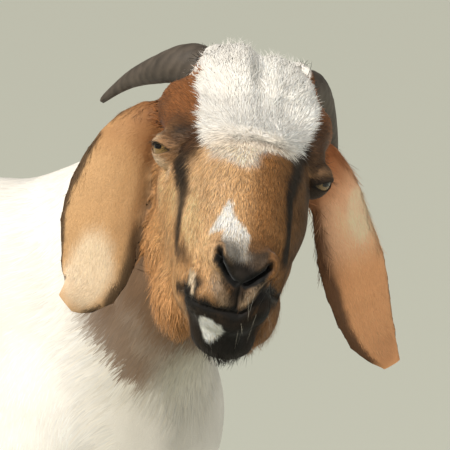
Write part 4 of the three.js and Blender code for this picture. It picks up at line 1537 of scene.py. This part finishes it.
def wet_eye_material():
    """Tear film over cornea: almost mirror-smooth, so that it shows the lights as small glints."""
    material, shader = new_material("wet_eye")
    uv = add_node(material, "ShaderNodeUVMap", {"uv_map": "EyeMap"}).outputs["UV"]
    parts = add_node(material, "ShaderNodeSeparateXYZ", Vector=uv)

    def sums(operation, *values):
        sockets = {f"_{i}": value for i, value in enumerate(values)}
        return add_node(material, "ShaderNodeMath", {"operation": operation}, **sockets).outputs["Value"]

    def mix(factor, low, high):
        return add_node(
            material, "ShaderNodeMix", {"data_type": "RGBA"}, _0=factor, _6=low, _7=high
        ).outputs[2]

    def ramp(value, start, end):
        return add_node(
            material, "ShaderNodeMapRange", {"interpolation_type": "SMOOTHSTEP"},
            Value=value, From_Min=start, From_Max=end,
        ).outputs["Result"]

    def ink(hex_colour):
        return (*linear(hex_colour), 1)

    x = sums("SUBTRACT", parts.outputs["X"], 0.5)
    y = sums("SUBTRACT", parts.outputs["Y"], 0.5 + PUPIL_RISE)
    radius = sums("SQRT", sums("ADD", sums("MULTIPLY", x, x), sums("MULTIPLY", y, y)))
    slot_x = sums("POWER", sums("ABSOLUTE", sums("DIVIDE", x, PUPIL[0])), 3.0)
    slot_y = sums("POWER", sums("ABSOLUTE", sums("DIVIDE", y, PUPIL[1])), 3.0)
    outside_slot = ramp(sums("ADD", slot_x, slot_y), 0.8, 1.25)
    streaks = add_node(material, "ShaderNodeTexNoise", Vector=uv, Scale=60.0, Detail=3.0).outputs["Fac"]
    amber = mix(streaks, ink("644d29"), ink("97794a"))
    amber = mix(ramp(radius, 0.15, 0.27), amber, ink("4a3820"))
    rim = ramp(radius, IRIS_RADIUS - IRIS_BLUR, IRIS_RADIUS + IRIS_BLUR)
    colour = mix(outside_slot, ink("0c0b0a"), mix(rim, amber, ink("2a211a")))
    material.node_tree.links.new(colour, shader.inputs["Base Color"])
    shader.inputs["Roughness"].default_value = 0.15
    shader.inputs["Specular IOR Level"].default_value = 0.3
    shader.inputs["Coat Weight"].default_value = 0.5
    shader.inputs["Coat Roughness"].default_value = 0.03
    return material


# %% Eyeballs
BALL_SHARE = 0.985  # of the radius, so that the ball clears the lids
CORNEA_FROM, CORNEA_WIDTH, CORNEA_HEIGHT = 9.5, 4.8, 0.9  # mm
wet_eye = wet_eye_material()
for side, centre in EYES.items():
    bpy.ops.mesh.primitive_uv_sphere_add(segments=72, ring_count=48, radius=EYE_RADIUS * BALL_SHARE * MM)
    eye = bpy.context.object
    eye.name = eye.data.name = f"eyeball_{side}"
    ball = places_of(eye.data)
    local_ball = (ball @ HEAD_AXES) * (1, -1, 1) / MM
    x, y, z = (local_ball @ eye_frame(side).T).T
    cornea = np.clip((z - CORNEA_FROM) / CORNEA_WIDTH, 0, 1) ** 1.5 * CORNEA_HEIGHT
    ball = ball * (1 + cornea / EYE_RADIUS)[:, None]
    set_places(eye.data, ball + np.array(from_head(np.array([centre], float))[0]))
    eye.data.shade_smooth()
    layer = eye.data.uv_layers.new(name="EyeMap")
    loops = np.empty(len(eye.data.loops), np.int64)
    eye.data.loops.foreach_get("vertex_index", loops)
    spots = (np.stack((x, y), 1) / MAP_SPAN + 0.5)[loops]
    layer.data.foreach_set("uv", spots.astype(np.float32).ravel())
    eye.data.materials.append(wet_eye)
    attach(eye, "root")
    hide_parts(f"eye_{side}")
    print(f"{eye.name}: {len(eye.data.polygons)} faces")


# %% Smoothed copies
def smoothed_copy(node, name, levels, bevel=0.0):
    """A rounder copy of a solid, its sharp edges bevelled first where it has a bevel in mm."""
    piece = merged_copy(node)
    piece.name = piece.data.name = name
    pick(piece)
    if bevel:
        edge = piece.modifiers.new("edge", "BEVEL")
        edge.width = bevel * MM
        edge.segments = 2
        edge.limit_method = "ANGLE"
        bpy.ops.object.modifier_apply(modifier=edge.name)
    rounding = piece.modifiers.new("rounding", "SUBSURF")
    rounding.levels = rounding.render_levels = levels
    bpy.ops.object.modifier_apply(modifier=rounding.name)
    piece.data.shade_smooth()
    return piece


def store_along(piece, values):
    """Keeps how far along the horn each point lies, for the rings of its finish."""
    layer = piece.data.attributes.new("Along", "FLOAT", "POINT")
    layer.data.foreach_set("value", values.astype(np.float32))


def horn_material(name, dark, pale, scale):
    """Grown keratin, worn dull: patchy grey-brown with rings, a little waxy."""
    material, shader = new_material(name)
    place = add_node(material, "ShaderNodeTexCoord").outputs["Object"]
    along = add_node(material, "ShaderNodeAttribute", {"attribute_name": "Along"}).outputs["Fac"]
    patchy = add_node(material, "ShaderNodeTexNoise", Vector=place, Scale=scale, Detail=5.0).outputs["Fac"]
    turned = {"operation": "MULTIPLY_ADD"}
    phase = add_node(material, "ShaderNodeMath", turned, _0=patchy, _1=7.0, _2=along)
    rings = add_node(material, "ShaderNodeMath", {"operation": "SINE"}, _0=phase.outputs["Value"])
    share = add_node(material, "ShaderNodeMath", turned, _0=rings.outputs["Value"], _1=0.08, _2=patchy)
    colour = add_node(
        material, "ShaderNodeMix", {"data_type": "RGBA"}, _0=share.outputs["Value"],
        _6=(*linear(dark), 1), _7=(*linear(pale), 1),
    )
    material.node_tree.links.new(colour.outputs[2], shader.inputs["Base Color"])
    height = share.outputs["Value"]
    bump = add_node(material, "ShaderNodeBump", Height=height, Strength=0.5, Distance=0.0016)
    material.node_tree.links.new(bump.outputs["Normal"], shader.inputs["Normal"])
    shader.inputs["Roughness"].default_value = 0.58
    return material


# %% Horns
RING_EVERY, RING_HEIGHT = 7.5, 0.2  # mm
RINGS_END = 95, 20  # mm from the root: the rings fade out towards the tip
horn_stuff = horn_material("horn", "29241e", "6b5f53", scale=90.0)
for side, root in HORN_ROOTS.items():
    horn = smoothed_copy(f"horn_{side}", f"ringed_horn_{side}", 2)
    reach = np.linalg.norm(to_head(places_of(horn.data)) - np.array(root, float), axis=1)
    turns = reach / RING_EVERY * 2 * math.pi
    grown = (RING_HEIGHT * np.sin(turns) * fade(reach, *RINGS_END))[:, None] * MM
    set_places(horn.data, places_of(horn.data) + normals_of(horn.data) * grown)
    store_along(horn, turns)
    horn.data.materials.append(horn_stuff)
    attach(horn, "root")
    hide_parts(f"horn_{side}")
    print(f"{horn.name}: {len(horn.data.polygons)} faces")

# %% Hooves and dewclaws
HOOF_BEVEL = 1.2  # mm
HOOF_RINGS = 900  # radians per metre of height, a ring about every 7 mm
hoof_stuff = horn_material("hoof_horn", "2c2621", "5a4e44", scale=120.0)
for name in sorted(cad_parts):
    if not name.startswith(("hoof_", "dewclaw_")):
        continue
    new_name = name.replace("hoof", "claw").replace("dewclaw", "side_claw")
    claw = smoothed_copy(name, new_name, 2, HOOF_BEVEL if name.startswith("hoof_") else 0.0)
    store_along(claw, places_of(claw.data)[:, 2] * HOOF_RINGS)
    claw.data.materials.append(hoof_stuff)
    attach(claw, "root")
    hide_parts(name)
    print(f"{claw.name}: {len(claw.data.polygons)} faces")

# %% The skin stands for the solids of flesh
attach(skin, "root")
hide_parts(*FLESH)
deselect_all()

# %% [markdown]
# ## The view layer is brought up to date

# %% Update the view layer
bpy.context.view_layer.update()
